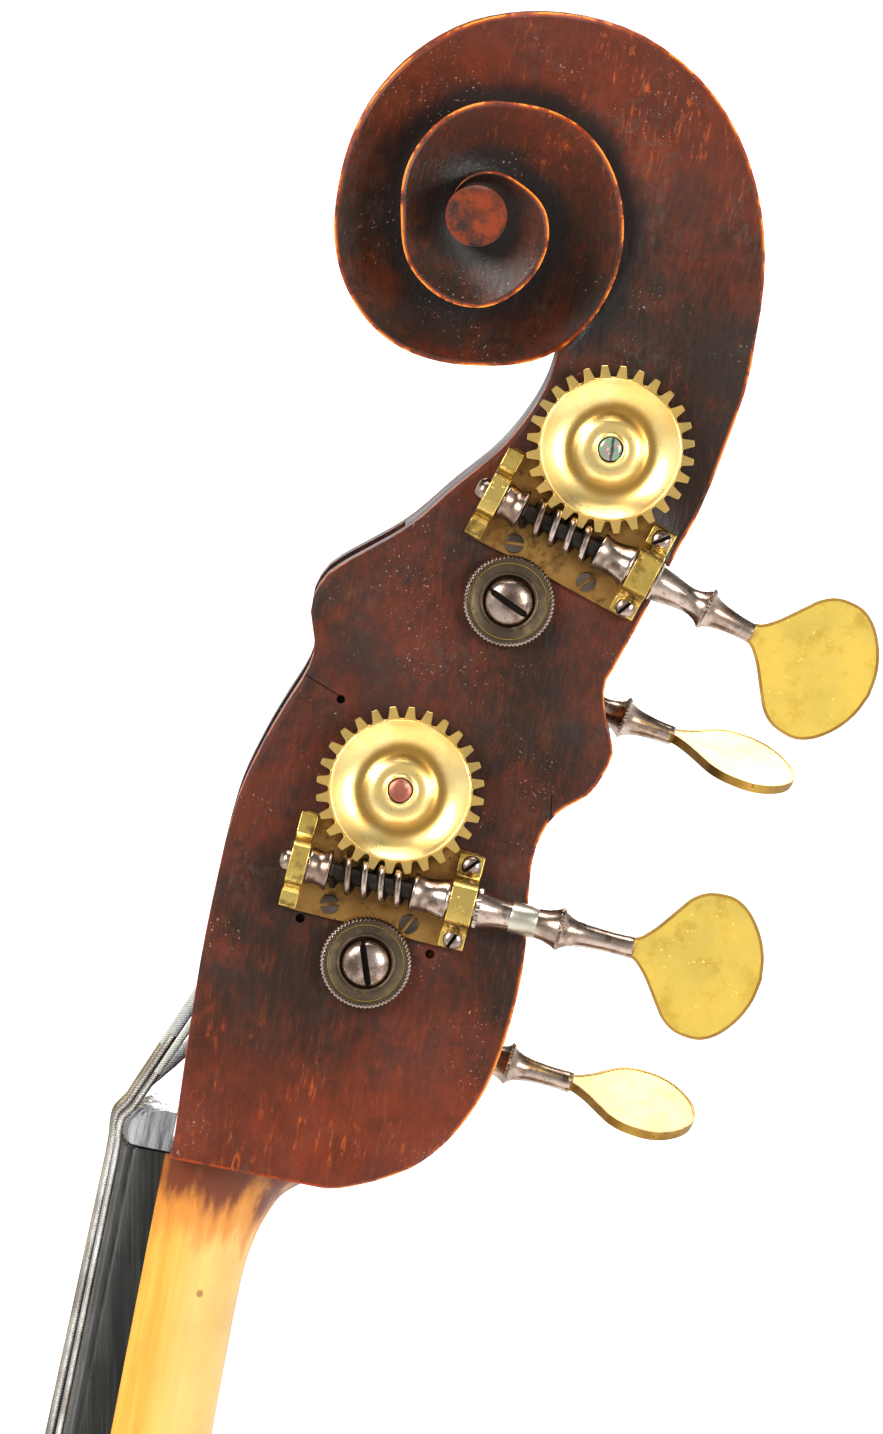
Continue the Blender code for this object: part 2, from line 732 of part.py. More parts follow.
def string_height(name, n):
    """b of a string's centre line at n, for the stretch from nut to bridge."""
    x = STRING_X[name]
    edge_drop = math.sqrt(BOARD_CROWN_R ** 2 - NUT_HALF ** 2)
    crown = BOARD_EDGE + math.sqrt(BOARD_CROWN_R ** 2 - x ** 2) - edge_drop
    return -(crown + 1.2 + MACHINES[name]["radius"]) + n * STRING_SLOPE


STRING_SLOPE = 0.0204
bridge_place = neck_to_world(0.0, string_height("d", -STRING_LENGTH), -STRING_LENGTH)
BRIDGE_Z = bridge_place.z
BRIDGE_Y = bridge_place.y


def make_nut():
    """A crowned bar under the strings, with its front edge rounded over."""
    rows = [(GAP, 0.0), (2.5, 0.5), (6.0, 0.2), (9.0, -2.0), (NUT_DEPTH, -5.0)]
    rings = []
    for n, rise in rows:
        drop = math.sqrt(BOARD_CROWN_R ** 2 - NUT_HALF ** 2)
        ring = [(NUT_HALF, 1.2, n), (NUT_HALF, -BOARD_EDGE - rise, n)]
        for i in range(1, 8):
            x = NUT_HALF * (1.0 - i / 4.0)
            ring.append((x, -BOARD_EDGE - rise - (math.sqrt(BOARD_CROWN_R ** 2 - x ** 2) - drop), n))
        ring += [(-NUT_HALF, -BOARD_EDGE - rise, n), (-NUT_HALF, 1.2, n)]
        rings.append(ring)
    return loft("nut", rings, "ebony", neck_frame)


# ---------------------------------------------------------------- head
FRONT_EDGE = [(1.6, 0.0), (1.5, 7.6), (0.4, 28.1), (-0.5, 59.1), (0.7, 90.5), (4.3, 106.8), (8.1, 118.0),
              (12.4, 129.2), (12.8, 136.0), (10.2, 144.0), (10.9, 149.7), (14.4, 155.7), (30.2, 169.2),
              (40.1, 181.6), (50.0, 193.5), (56.2, 205.0), (59.6, 218.8)]
BACK_EDGE = [(108.5, 236.2), (108.7, 225.8), (106.1, 204.4), (99.4, 177.1), (93.8, 159.1), (88.9, 143.9),
             (87.5, 138.6), (90.4, 128.8), (92.9, 124.0), (92.1, 118.7), (89.0, 111.5), (83.1, 106.5),
             (79.5, 100.7), (78.0, 90.0), (80.9, 64.0), (78.7, 38.2), (72.6, 21.4), (62.3, 9.0), (45.7, 0.6),
             (36.0, 0.0)]
# radius of the scroll's edge from the eye, by angle in the neck frame
SPIRAL = [(11, 72.9), (27, 69.9), (39, 67.3), (56, 62.5), (71, 57.5), (86, 52.9), (101, 48.9), (112, 45.9),
          (124, 43.0), (139, 40.0), (160, 37.1), (181, 35.8), (201, 36.7), (221, 38.2), (245, 39.4),
          (281, 39.0), (312, 40.8), (371, 37.5), (408, 34.9), (440, 30.1), (461, 28.1), (506, 22.5), (551, 19.1),
          (591, 21.4), (641, 23.5), (668, 22.1), (731, 17.9), (764, 14.0), (798, 11.9), (821, 10.5),
          (860, 8.0)]
EYE_R = 8.0


def spiral_point(angle, grow=0.0):
    radius = interpolate(SPIRAL, angle) + grow
    return (EYE[0] + radius * math.cos(math.radians(angle)), EYE[1] + radius * math.sin(math.radians(angle)))


def cheek_half(n):
    """Half width of the head at height n."""
    return max(SCROLL_HALF, HEAD_HALF - n * math.tan(math.radians(CHEEK_TAPER)))


def shaped_plate(name, outline, half_at, slot, parent):
    """A plate in b and n whose half thickness across x is a function of n."""
    item = plate(name, [outline], 1.0, slot, parent)
    for vert in item.data.vertices:
        b, n, side = vert.co.x, vert.co.y, vert.co.z / MM
        vert.co = Vector((side * half_at(n / MM) * MM, b, n))
    return item


def make_head():
    outline = smooth(FRONT_EDGE, 2)[:-1]
    outline += [spiral_point(angle) for angle in range(300, 11, -12)]
    outline += smooth(BACK_EDGE, 2)
    head = shaped_plate("head", outline, cheek_half, "varnish", neck_frame)
    for start, grow, half in ((371, 0.0, 34.0), (500, -1.0, 42.0)):
        turn = [spiral_point(angle, grow) for angle in range(start, start + 360, 15)]
        disc = shaped_plate("turn", turn, lambda n, h=half: h, "varnish", neck_frame)
        head = boolean(head, disc, "UNION")
    eye = shaped_plate("eye", arc(EYE, EYE_R, 0, 337.5, 15), lambda n: EYE_HALF, "varnish", neck_frame)
    head = boolean(head, eye, "UNION")
    # the slot between the cheeks, open to the front, with a wall along the back
    slot = [(-30.0, 14.0), (30.0, 14.0), (52.0, 20.0), (63.0, 34.0), (67.0, 52.0), (66.0, 92.0), (73.0, 112.0),
            (76.0, 140.0), (86.0, 178.0), (92.0, 204.0), (86.0, 214.0), (75.0, 216.0), (64.0, 208.0),
            (52.0, 186.0), (40.0, 169.0), (-30.0, 169.0)]
    cutter = shaped_plate("pegbox_cutter", slot, lambda n: cheek_half(n) - CHEEK_T, None, neck_frame)
    head = boolean(head, cutter, "DIFFERENCE")
    for name in MACHINES:
        for bore in roller_bores(name):
            head = boolean(head, bore, "DIFFERENCE")
    return head


# ---------------------------------------------------------------- tuning machines
def machine_axes(name):
    """Directions U (to the key), V (from worm to gear) and W (out) of a treble-side unit."""
    taper = math.radians(CHEEK_TAPER)
    slope = math.radians(MACHINES[name]["slope"])
    w = Vector((math.cos(taper), 0.0, math.sin(taper)))
    u = Vector((0.0, math.cos(slope), -math.sin(slope)))
    u = (u - w * u.dot(w)).normalized()
    return u, w.cross(u), w


def make_machine_frames():
    """One empty for each machine, at its gear's centre on the cheek."""
    frames = {}
    for name, data in MACHINES.items():
        b, n = data["centre"]
        side = data["side"]
        u, v, w = machine_axes(name)
        place = Vector((cheek_half(n), b, n)) * MM
        flip = Matrix.Diagonal((side, 1.0, 1.0))
        u, v, w, place = flip @ u, flip @ v, flip @ w * side, flip @ place
        matrix = Matrix((u, v, w)).transposed().to_4x4()
        matrix.translation = place
        frames[name] = empty("machine_" + name, matrix, neck_frame)
    return frames


def hand(item, side):
    """Mirror a finished machine part for the bass cheek."""
    if side < 0:
        item.data.transform(Matrix.Diagonal((1.0, 1.0, -1.0, 1.0)))
        item.data.flip_normals()
    return item


def roller_span(name):
    """Distance along a roller from its own cheek's face to the far cheek's face."""
    taper = math.radians(CHEEK_TAPER)
    half = cheek_half(MACHINES[name]["centre"][1])
    return 2.0 * half * math.cos(taper) / math.cos(2.0 * taper)


def roller_bores(name):
    side = MACHINES[name]["side"]
    span = roller_span(name)
    near = [(0, 5.0), (BARREL_R + 0.4, 5.0), (BARREL_R + 0.4, -CHEEK_T - 4.0), (0, -CHEEK_T - 4.0)]
    far = [(0, -span / 2), (FAR_JOURNAL_R + 0.4, -span / 2), (FAR_JOURNAL_R + 0.4, -span - 5.0),
           (0, -span - 5.0)]
    return [hand(turned("bore", profile, None, machine_frames[name], steps=20), side)
            for profile in (near, far)]


def make_gear(name, frame, side):
    """A straight-toothed wheel, a gap between teeth facing the worm at rest."""
    step = 2.0 * math.pi / TEETH
    root_share = 0.34
    tip_share = 0.17
    outline = []
    for tooth in range(TEETH):
        middle = -math.pi / 2 + step * (tooth + 0.5)
        for offset, radius in ((-root_share, GEAR_ROOT_R), (-tip_share, GEAR_TIP_R),
                               (tip_share, GEAR_TIP_R), (root_share, GEAR_ROOT_R)):
            angle = middle + offset * step
            outline.append((radius * math.cos(angle), radius * math.sin(angle)))
    hole = arc((0.0, 0.0), 3.3, 0.0, 337.5, 15)
    gear = plate("gear_" + name, [outline, hole], (GEAR_W[1] - GEAR_W[0]) / 2, "brass", frame)
    gear.data.transform(Matrix.Translation((0.0, 0.0, sum(GEAR_W) / 2 * MM)))
    return hand(gear, side)


def make_roller(name, frame, side):
    """Boss under the gear, barrel in the pegbox, journal and screw head at the far end."""
    span = roller_span(name)
    shoulder = -span + CHEEK_T + 2.2
    profile = [(0, GEAR_W[1]), (3.0, GEAR_W[1]), (3.0, 4.5), (9.5, 4.5), (9.5, 0.4), (BARREL_R, 0.4),
               (BARREL_R, shoulder), (FAR_JOURNAL_R, shoulder - 1.0), (FAR_JOURNAL_R, -span - 1.5),
               (5.9, -span - 1.5), (5.9, -span - 3.4), (4.2, -span - 4.9), (0, -span - 5.6)]
    return hand(turned("roller_" + name, profile, "worn_steel", frame, steps=14), side)


def make_winding(name, frame, side):
    """The turns of string on the barrel, as one sleeve."""
    half = cheek_half(MACHINES[name]["centre"][1])
    across = (half - own_side_x(name)) / math.cos(math.radians(CHEEK_TAPER))
    low = -across - WINDING_HALF
    high = -across + WINDING_HALF
    inner = BARREL_R + 0.25
    profile = [(inner, high), (WINDING_R, high), (WINDING_R, low), (inner, low)]
    return hand(turned("winding_" + name, profile, "string_steel", frame, steps=20, ring=True), side)


def own_side_x(name):
    """A winding's x, measured towards its own machine's cheek."""
    return MACHINES[name]["winding"] * MACHINES[name]["side"]


def make_end_cap(name):
    """The fixed disc round a roller's far end, flat on the other cheek."""
    data = MACHINES[name]
    span = roller_span(name) * MM
    frame = machine_frames[name]
    side = data["side"]
    end = frame.matrix_basis @ Vector((0.0, 0.0, -span * side))
    taper = math.radians(CHEEK_TAPER)
    normal = Vector((-side * math.cos(taper), 0.0, math.sin(taper)))
    turn = Vector((0.0, 0.0, 1.0)).rotation_difference(normal).to_matrix().to_4x4()
    profile = [(6.6, 4.4), (11.9, 4.4), (11.9, 2.5), (7.8, 2.3), (7.8, GAP), (6.6, GAP)]
    cap = turned("end_cap_" + name, profile, "dark_steel", neck_frame, steps=20, ring=True)
    cap.matrix_basis = Matrix.Translation(end) @ turn
    return cap


def make_machine_frame(name, frame, side):
    """Brass plate on the cheek with a bearing for the worm at each end."""
    left, right = -23.0, 25.5
    low, high = WORM_V - 12.2, WORM_V + 13.2
    base = plate("machine_frame_" + name, [[(left, low), (right, low), (right, high), (left, high)]],
                 (PLATE_W - GAP) / 2, "brass", frame)
    base.data.transform(Matrix.Translation((0.0, 0.0, (PLATE_W + GAP) / 2 * MM)))
    arch = [(low, 1.2), (low, 4.6), (WORM_V - 7.0, 5.2), (WORM_V - 5.0, 11.0), (WORM_V - 2.6, 12.6),
            (WORM_V + 2.6, 12.6), (WORM_V + 5.0, 11.0), (WORM_V + 7.0, 5.2), (high, 4.6), (high, 1.2)]
    hole = arc((WORM_V, WORM_W), JOURNAL_R + 0.35, 0.0, 337.5, 15)
    for start in (left, right - 5.7):
        block = plate("bearing", [arch, hole], 5.7 / 2, "brass", frame)
        # drawn in v and w, stood up along u
        block.data.transform(Matrix(((0, 0, 1, (start + 5.7 / 2) * MM), (1, 0, 0, 0), (0, 1, 0, 0),
                                     (0, 0, 0, 1))))
        base = boolean(base, block, "UNION")
    return hand(base, side)


def worm_frame(name, frame, side):
    """An empty on the worm's axis, its z along U."""
    place = Vector((0.0, WORM_V, WORM_W * side)) * MM
    matrix = Matrix(((0.0, 0.0, 1.0), (1.0, 0.0, 0.0), (0.0, 1.0, 0.0))).to_4x4()
    matrix.translation = place
    return empty("worm_axis_" + name, matrix, frame)


def thread_rings(start, end):
    """Sections of the thread, whose crest faces the gear at u = 0."""
    per_turn = 10
    first = math.ceil(start / PITCH * per_turn)
    last = math.floor(end / PITCH * per_turn)
    rings = []
    for step in range(first, last + 1):
        angle = 2.0 * math.pi * step / per_turn
        along = PITCH * step / per_turn
        out = Vector((math.cos(angle), math.sin(angle), 0.0))
        ring = []
        for radius, offset in ((WORM_ROOT_R - 0.5, -1.05), (WORM_TIP_R, -0.5), (WORM_TIP_R, 0.5),
                               (WORM_ROOT_R - 0.5, 1.05)):
            place = out * radius
            ring.append((place.x, place.y, along + offset))
        rings.append(ring)
    return rings


# the shaft outside its outer bearing as (radius, u), on the long lower machines and the short upper ones
BEARING_END = 25.9
LONG_SHAFT = [(2.9, 66.5), (2.8, 60.0), (3.7, 52.0), (5.4, 48.6), (5.4, 47.8), (4.2, 45.0), (3.9, 38.0),
              (4.3, 31.0), (5.5, 26.8), (5.5, BEARING_END)]
SHORT_SHAFT = [(2.7, 53.1), (2.8, 49.5), (3.5, 44.5), (5.3, 41.1), (5.3, 40.4), (3.7, 37.5), (3.5, 35.0),
               (4.3, 30.0), (4.9, 26.8), (4.9, BEARING_END)]


def shaft_profile(name):
    """The long or short shaft, stretched so that it ends just short of the key."""
    shape = LONG_SHAFT if name in ("g", "e") else SHORT_SHAFT
    end = MACHINES[name]["key_at"] - GAP
    stretch = (end - BEARING_END) / (shape[0][1] - BEARING_END)
    return [(radius, BEARING_END + (u - BEARING_END) * stretch) for radius, u in shape]


def make_worm(name, frame, side):
    """Worm, journals and key shaft in one turned and threaded piece."""
    axis = worm_frame(name, frame, side)
    outer = shaft_profile(name)
    profile = [(0, outer[0][1])] + outer
    profile += [(JOURNAL_R, BEARING_END), (JOURNAL_R, 19.4),
               (4.6, 19.4), (4.0, 15.5), (4.9, 11.0), (4.7, 10.0), (WORM_ROOT_R, 9.4), (WORM_ROOT_R, -8.8),
               (4.7, -9.4), (4.9, -10.4), (3.9, -14.0), (4.5, -16.9), (JOURNAL_R, -16.9), (JOURNAL_R, -24.0),
               (2.2, -25.2), (0, -25.6)]
    worm = turned("worm_" + name, profile, "worn_steel", axis, steps=14)
    thread = loft("thread", thread_rings(-8.6, 9.2), "worn_steel", axis)
    worm = boolean(worm, thread, "UNION")
    if side < 0:
        worm.data.transform(Matrix.Diagonal((1.0, -1.0, 1.0, 1.0)))
        worm.data.flip_normals()
    return axis


KEY_T = 2.4
# one edge of the key from its root to its tip, as (along, across)
KEY_EDGE = [(0.0, 2.4), (1.9, 3.2), (5.2, 6.6), (9.6, 12.6), (12.3, 16.0), (16.0, 18.3), (21.0, 18.9),
            (24.5, 18.0), (28.0, 15.4), (31.3, 11.0), (33.5, 5.8), (34.4, 0.0)]


def key_outline():
    """Outline of the heart-shaped key, along u from the shaft and across."""
    edge = smooth(KEY_EDGE, 2)
    return edge + [(along, -across) for along, across in edge[-2::-1]]


def make_key(name, axis, side):
    """The flat brass key on the end of the worm's shaft."""
    key = plate("key_" + name, [key_outline()], KEY_T / 2, "brass", axis)
    # drawn along x, laid along the axis z, facing out from the cheek
    start = MACHINES[name]["key_at"] * MM
    key.data.transform(Matrix(((0, 1, 0, 0), (0, 0, 1, 0), (1, 0, 0, start), (0, 0, 0, 1))))
    key.data.transform(Matrix.Rotation(math.radians(MACHINES[name]["key_turn"] * side), 4, "Z"))
    return key


# ---------------------------------------------------------------- strings
def string_points(name):
    """World points of one string from the tailpiece to its winding."""
    data = MACHINES[name]
    radius = data["radius"]
    points = [tail_anchor(name), bridge_top(name)]
    nut_x = STRING_X[name]
    for n in (-0.5, 2.5, 6.0, 9.0):
        rise = {-0.5: 0.0, 2.5: 0.35, 6.0: 0.1, 9.0: -2.0}[n]
        points.append(neck_to_world(nut_x, string_height(name, 0.0) - rise, n))
    start = Vector((nut_x, string_height(name, 0.0) + 2.4, 9.6))
    centre = Vector((data["winding"], data["centre"][0], data["centre"][1] - 1.5))
    away = Vector((0.0, centre.y - start.y, centre.z - start.z))
    reach = WINDING_R + radius + 0.5
    distance = away.length
    swing = math.asin(reach / distance)
    base = math.atan2(away.z, away.y) + swing
    length = math.sqrt(distance ** 2 - reach ** 2)
    end = start + Vector((0.0, math.cos(base), math.sin(base))) * length
    end.x = data["winding"]
    points.append(neck_to_world(*end))
    return points


def bridge_top(name):
    """World place of a string's centre line on the bridge."""
    x = BRIDGE_X[name]
    fall = BRIDGE_CROWN_R - math.sqrt(BRIDGE_CROWN_R ** 2 - x ** 2)
    return Vector((x, BRIDGE_Y + fall - MACHINES[name]["radius"], BRIDGE_Z))


BRIDGE_CROWN_R = 85.0
SADDLE_Z = BODY_BOTTOM_Z + 5.0
SADDLE_Y = FRONT_Y - PLATE_T - 13.0
TAIL_TOP = 0.36              # share of the way from bridge to saddle
TAIL_BOTTOM = 0.965
TAIL_T = 12.0


def tail_place(share):
    """World y and z on the line from the bridge's crown to the saddle."""
    return (BRIDGE_Y + (SADDLE_Y - BRIDGE_Y) * share, BRIDGE_Z + (SADDLE_Z - BRIDGE_Z) * share)


def tail_anchor(name):
    y, z = tail_place(TAIL_TOP - 0.006)
    x = BRIDGE_X[name] * 0.62
    return Vector((x, y - 1.0 - 0.012 * (900.0 - x * x) * 0.3, z))


def make_strings():
    for name in MACHINES:
        tube("string_" + name, string_points(name), MACHINES[name]["radius"], "string_steel")


# ---------------------------------------------------------------- bridge and tail
def make_bridge():
    """The bridge standing on the arched top, drawn in x and height."""
    height = -BRIDGE_Y - GAP
    base = -top_hit(0.0, BRIDGE_Z, True)
    tall = height - base
    slack = 0.8
    foot = []
    for x in (82.0, 66.0, 50.0, 40.0):
        foot.append((x, -min(top_hit(x, BRIDGE_Z - 11.0, True), top_hit(x, BRIDGE_Z + 11.0, True)) + slack))
    crown = []
    for i in range(9):
        x = 62.0 * (1.0 - i / 4.0)
        fall = BRIDGE_CROWN_R - math.sqrt(BRIDGE_CROWN_R ** 2 - x ** 2)
        crown.append((x, height - fall - 2.0))
    side = [(82.0, foot[0][1] + 7.0), (66.0, base + 22.0), (60.0, base + 40.0), (66.0, base + 58.0),
            (74.0, base + 72.0), (62.0, base + 84.0), (52.0, base + 92.0), (56.0, base + tall * 0.68)]
    arch = [(34.0, base + 12.0), (24.0, base + 34.0), (10.0, base + 46.0)]
    right = foot[::-1][:-1] + [foot[0]] + side
    outline = right + crown + mirrored(list(reversed(right))) + [(-x, z) for x, z in arch] + arch[::-1]
    heart = [(0.0, base + 62.0), (11.0, base + 72.0), (15.0, base + 84.0), (8.0, base + 94.0),
             (0.0, base + 88.0), (-8.0, base + 94.0), (-15.0, base + 84.0), (-11.0, base + 72.0)]
    bridge = plate("bridge", [outline, heart], 10.0, "bridge_maple")
    # height runs towards the front; the plate's thickness lies along z, thinner at the crown
    for vert in bridge.data.vertices:
        x, h, side_z = vert.co.x, vert.co.y, vert.co.z
        share = max(0.0, (h / MM - base) / tall)
        vert.co = Vector((x, -h, BRIDGE_Z * MM + side_z * (1.0 - 0.62 * share)))
    bridge.data.flip_normals()
    return settle(bridge)


def make_tailpiece():
    rings = []
    for share, half, thick in ((TAIL_TOP, 40.0, TAIL_T), (TAIL_TOP + 0.06, 41.0, TAIL_T), (0.7, 29.0, TAIL_T),
                               (TAIL_BOTTOM, 19.0, TAIL_T)):
        y, z = tail_place(share)
        ring = []
        for x in (-1.0, -0.6, 0.0, 0.6, 1.0):
            ring.append((x * half, y - 5.0 * (1.0 - x * x), z))
        ring += [(half, y + thick, z), (-half, y + thick, z)]
        rings.append(ring)
    return loft("tailpiece", rings, "ebony")


def make_saddle():
    """A bar let into the top plate's lower edge."""
    front = SADDLE_Y + 2.4
    low = BODY_BOTTOM_Z
    profile = [(low - 3.0, FRONT_Y - PLATE_T - GAP), (low - 3.0, front + 4.0), (low + 1.0, front),
               (low + 9.0, front), (low + 16.0, FRONT_Y - PLATE_T - GAP)]
    rings = [[(x, y, z) for z, y in profile] for x in (-34.0, 34.0)]
    return loft("saddle", rings, "ebony")


def make_tailgut():
    """A loop from under the tailpiece over the saddle and round the endpin collar."""
    y, z = tail_place(TAIL_BOTTOM)
    ring_r = COLLAR_R + 3.2
    z_ring = BODY_BOTTOM_Z - 12.0
    right = [(9.0, y + 3.0, z - GAP - 1.2), (9.0, SADDLE_Y + 0.6, BODY_BOTTOM_Z + 9.5),
             (9.0, SADDLE_Y + 0.6, BODY_BOTTOM_Z + 1.0), (10.0, SADDLE_Y + 6.0, BODY_BOTTOM_Z - 6.0),
             (11.0, FRONT_Y - 4.0, BODY_BOTTOM_Z - 12.0), (13.0, -30.0, z_ring)]
    around = []
    for i in range(13):
        angle = math.radians(-55.0 + 290.0 * i / 12.0)
        around.append((ring_r * math.cos(angle), ring_r * math.sin(angle), z_ring))
    left = [(-x, gy, gz) for x, gy, gz in reversed(right)]
    return tube("tailgut", right[:-1] + around + left[1:], 1.5, "string_steel", sides=2)


# ---------------------------------------------------------------- endpin
COLLAR_R = 19.0
COLLAR_STEM_R = 14.0
ROD_R = 5.0
FOOT_R = 13.0
FOOT_H = 32.0
ROD_TOP = BODY_BOTTOM_Z + 290.0
SCREW_Z = COLLAR_Z + 12.0


def make_endpin():
    top = BODY_BOTTOM_Z + 75.0
    bore = ROD_R + 0.3
    profile = [(bore, top), (COLLAR_STEM_R, top), (COLLAR_STEM_R, BODY_BOTTOM_Z - GAP),
               (COLLAR_R, BODY_BOTTOM_Z - 1.0), (COLLAR_R, BODY_BOTTOM_Z - 26.0), (15.0, COLLAR_Z),
               (bore, COLLAR_Z)]
    # the thumbscrew lies along y, at the back of the collar
    sideways = Matrix.Translation(Vector((0.0, 0.0, SCREW_Z)) * MM) @ Matrix.Rotation(-math.pi / 2, 4, "X")
    collar = turned("endpin_collar", profile, "ebony", steps=28, ring=True)
    hole = turned("screw_hole", [(0, 40), (3.3, 40), (3.3, 0), (0, 0)], None, steps=16)
    hole.matrix_basis = sideways
    boolean(collar, hole, "DIFFERENCE")
    turned("endpin_rod", [(0, ROD_TOP), (ROD_R - 1, ROD_TOP), (ROD_R, ROD_TOP - 1), (ROD_R, 12.0), (0, 12.0)],
           "bright_steel", steps=20)
    foot = [(0, 11.7), (ROD_R + 0.2, 11.7), (ROD_R + 0.2, FOOT_H), (ROD_R + 3.0, FOOT_H),
            (FOOT_R - 1.0, 10.0), (FOOT_R, 4.0), (FOOT_R - 1.5, 0.0), (0, 0.0)]
    turned("endpin_foot", foot, "rubber", steps=24)
    # thumbscrew from the back of the collar, its tip just short of the rod
    tip = ROD_R + 0.9
    screw = turned("endpin_thumbscrew", [(0, 36.0), (2.0, 36.0), (3.0, 34.0), (3.0, tip), (0, tip)],
                   "bright_steel", steps=16)
    ears = [(-2.0, 24.0), (2.0, 24.0), (10.0, 29.0), (12.0, 38.0), (8.0, 44.0), (2.0, 37.0), (-2.0, 37.0),
            (-8.0, 44.0), (-12.0, 38.0), (-10.0, 29.0)]
    wing = plate("wing", [ears], 1.5, "bright_steel")
    wing.data.transform(Matrix.Rotation(math.pi / 2, 4, "X"))
    screw = boolean(screw, wing, "UNION")
    screw.matrix_basis = sideways


# ---------------------------------------------------------------- build
heel_cutter = loft("heel_cutter", heel_rings(GAP), None)
machine_frames = make_machine_frames()
make_top_plate()
make_back_plate()
make_ribs()
make_blocks()
make_bass_bar()
make_sound_post()
make_back_brace()
make_neck()
make_fingerboard()
make_nut()
make_head()
for machine_name, machine_data in MACHINES.items():
    machine_side = machine_data["side"]
    machine_empty = machine_frames[machine_name]
    make_machine_frame(machine_name, machine_empty, machine_side)
    make_gear(machine_name, machine_empty, machine_side)
    make_roller(machine_name, machine_empty, machine_side)
    make_winding(machine_name, machine_empty, machine_side)
    make_end_cap(machine_name)
    worm_axis = make_worm(machine_name, machine_empty, machine_side)
    make_key(machine_name, worm_axis, machine_side)
make_bridge()
make_tailpiece()
make_saddle()
make_tailgut()
make_endpin()
make_strings()
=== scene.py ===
"""Double bass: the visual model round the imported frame. Lengths are mm, and node settings metres."""
import math
import bmesh
import bpy
from mathutils import Matrix, Vector
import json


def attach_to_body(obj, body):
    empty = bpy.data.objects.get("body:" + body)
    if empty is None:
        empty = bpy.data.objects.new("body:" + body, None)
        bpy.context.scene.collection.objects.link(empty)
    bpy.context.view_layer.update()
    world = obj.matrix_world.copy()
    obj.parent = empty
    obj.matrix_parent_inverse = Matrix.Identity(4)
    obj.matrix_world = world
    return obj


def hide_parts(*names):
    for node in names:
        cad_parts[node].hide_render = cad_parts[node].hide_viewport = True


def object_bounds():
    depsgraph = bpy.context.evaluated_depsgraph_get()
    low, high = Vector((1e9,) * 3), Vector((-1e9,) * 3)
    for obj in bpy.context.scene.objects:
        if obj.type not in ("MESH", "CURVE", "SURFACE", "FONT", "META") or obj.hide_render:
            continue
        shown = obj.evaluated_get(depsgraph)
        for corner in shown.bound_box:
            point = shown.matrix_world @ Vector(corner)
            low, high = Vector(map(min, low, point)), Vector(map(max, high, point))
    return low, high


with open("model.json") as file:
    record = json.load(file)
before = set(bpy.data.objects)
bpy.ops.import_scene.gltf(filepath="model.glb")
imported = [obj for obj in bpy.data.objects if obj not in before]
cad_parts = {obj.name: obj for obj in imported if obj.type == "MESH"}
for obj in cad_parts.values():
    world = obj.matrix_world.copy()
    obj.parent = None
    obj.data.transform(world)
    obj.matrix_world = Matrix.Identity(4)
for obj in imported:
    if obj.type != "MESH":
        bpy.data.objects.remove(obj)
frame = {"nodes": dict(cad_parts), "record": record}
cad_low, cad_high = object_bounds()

MM = 0.001
TILT = math.radians(11.0)          # the neck leans back from the plane of the top
CHEEK_TAPER = math.radians(2.9)
CHEEK_THICK = 14.0
BODY_TOP_Z = 1285.0
STRINGS = ("g", "d", "a", "e")
SIDE = {"g": 1, "d": 1, "a": -1, "e": -1}
CENTRE = {"g": (41.3, 103.6), "d": (77.3, 198.9), "a": (59.4, 158.6), "e": (41.1, 61.7)}
WINDING_X = {"g": 5.5, "d": 4.0, "a": -5.5, "e": -7.0}
STRING_R = {"g": 0.9, "d": 1.1, "a": 1.35, "e": 1.6}
NUT_X = {"g": 15.9, "d": 5.3, "a": -5.3, "e": -15.9}
BARREL_R = 7.0
WINDING_R = BARREL_R + 0.35        # inside of a string's turns

joints = {joint["name"]: joint for joint in frame["record"]["behaviour"]["joints"]}
gear_place = Vector(joints["roller_turn_g"]["pos_m"]) / MM
NUT_Y = gear_place.y - CENTRE["g"][0] * math.cos(TILT) - CENTRE["g"][1] * math.sin(TILT)
NUT_Z = gear_place.z + CENTRE["g"][0] * math.sin(TILT) - CENTRE["g"][1] * math.cos(TILT)
NECK = Matrix.Translation(Vector((0.0, NUT_Y, NUT_Z)) * MM) @ Matrix.Rotation(-TILT, 4, "X")
WORLD = Matrix.Identity(4)


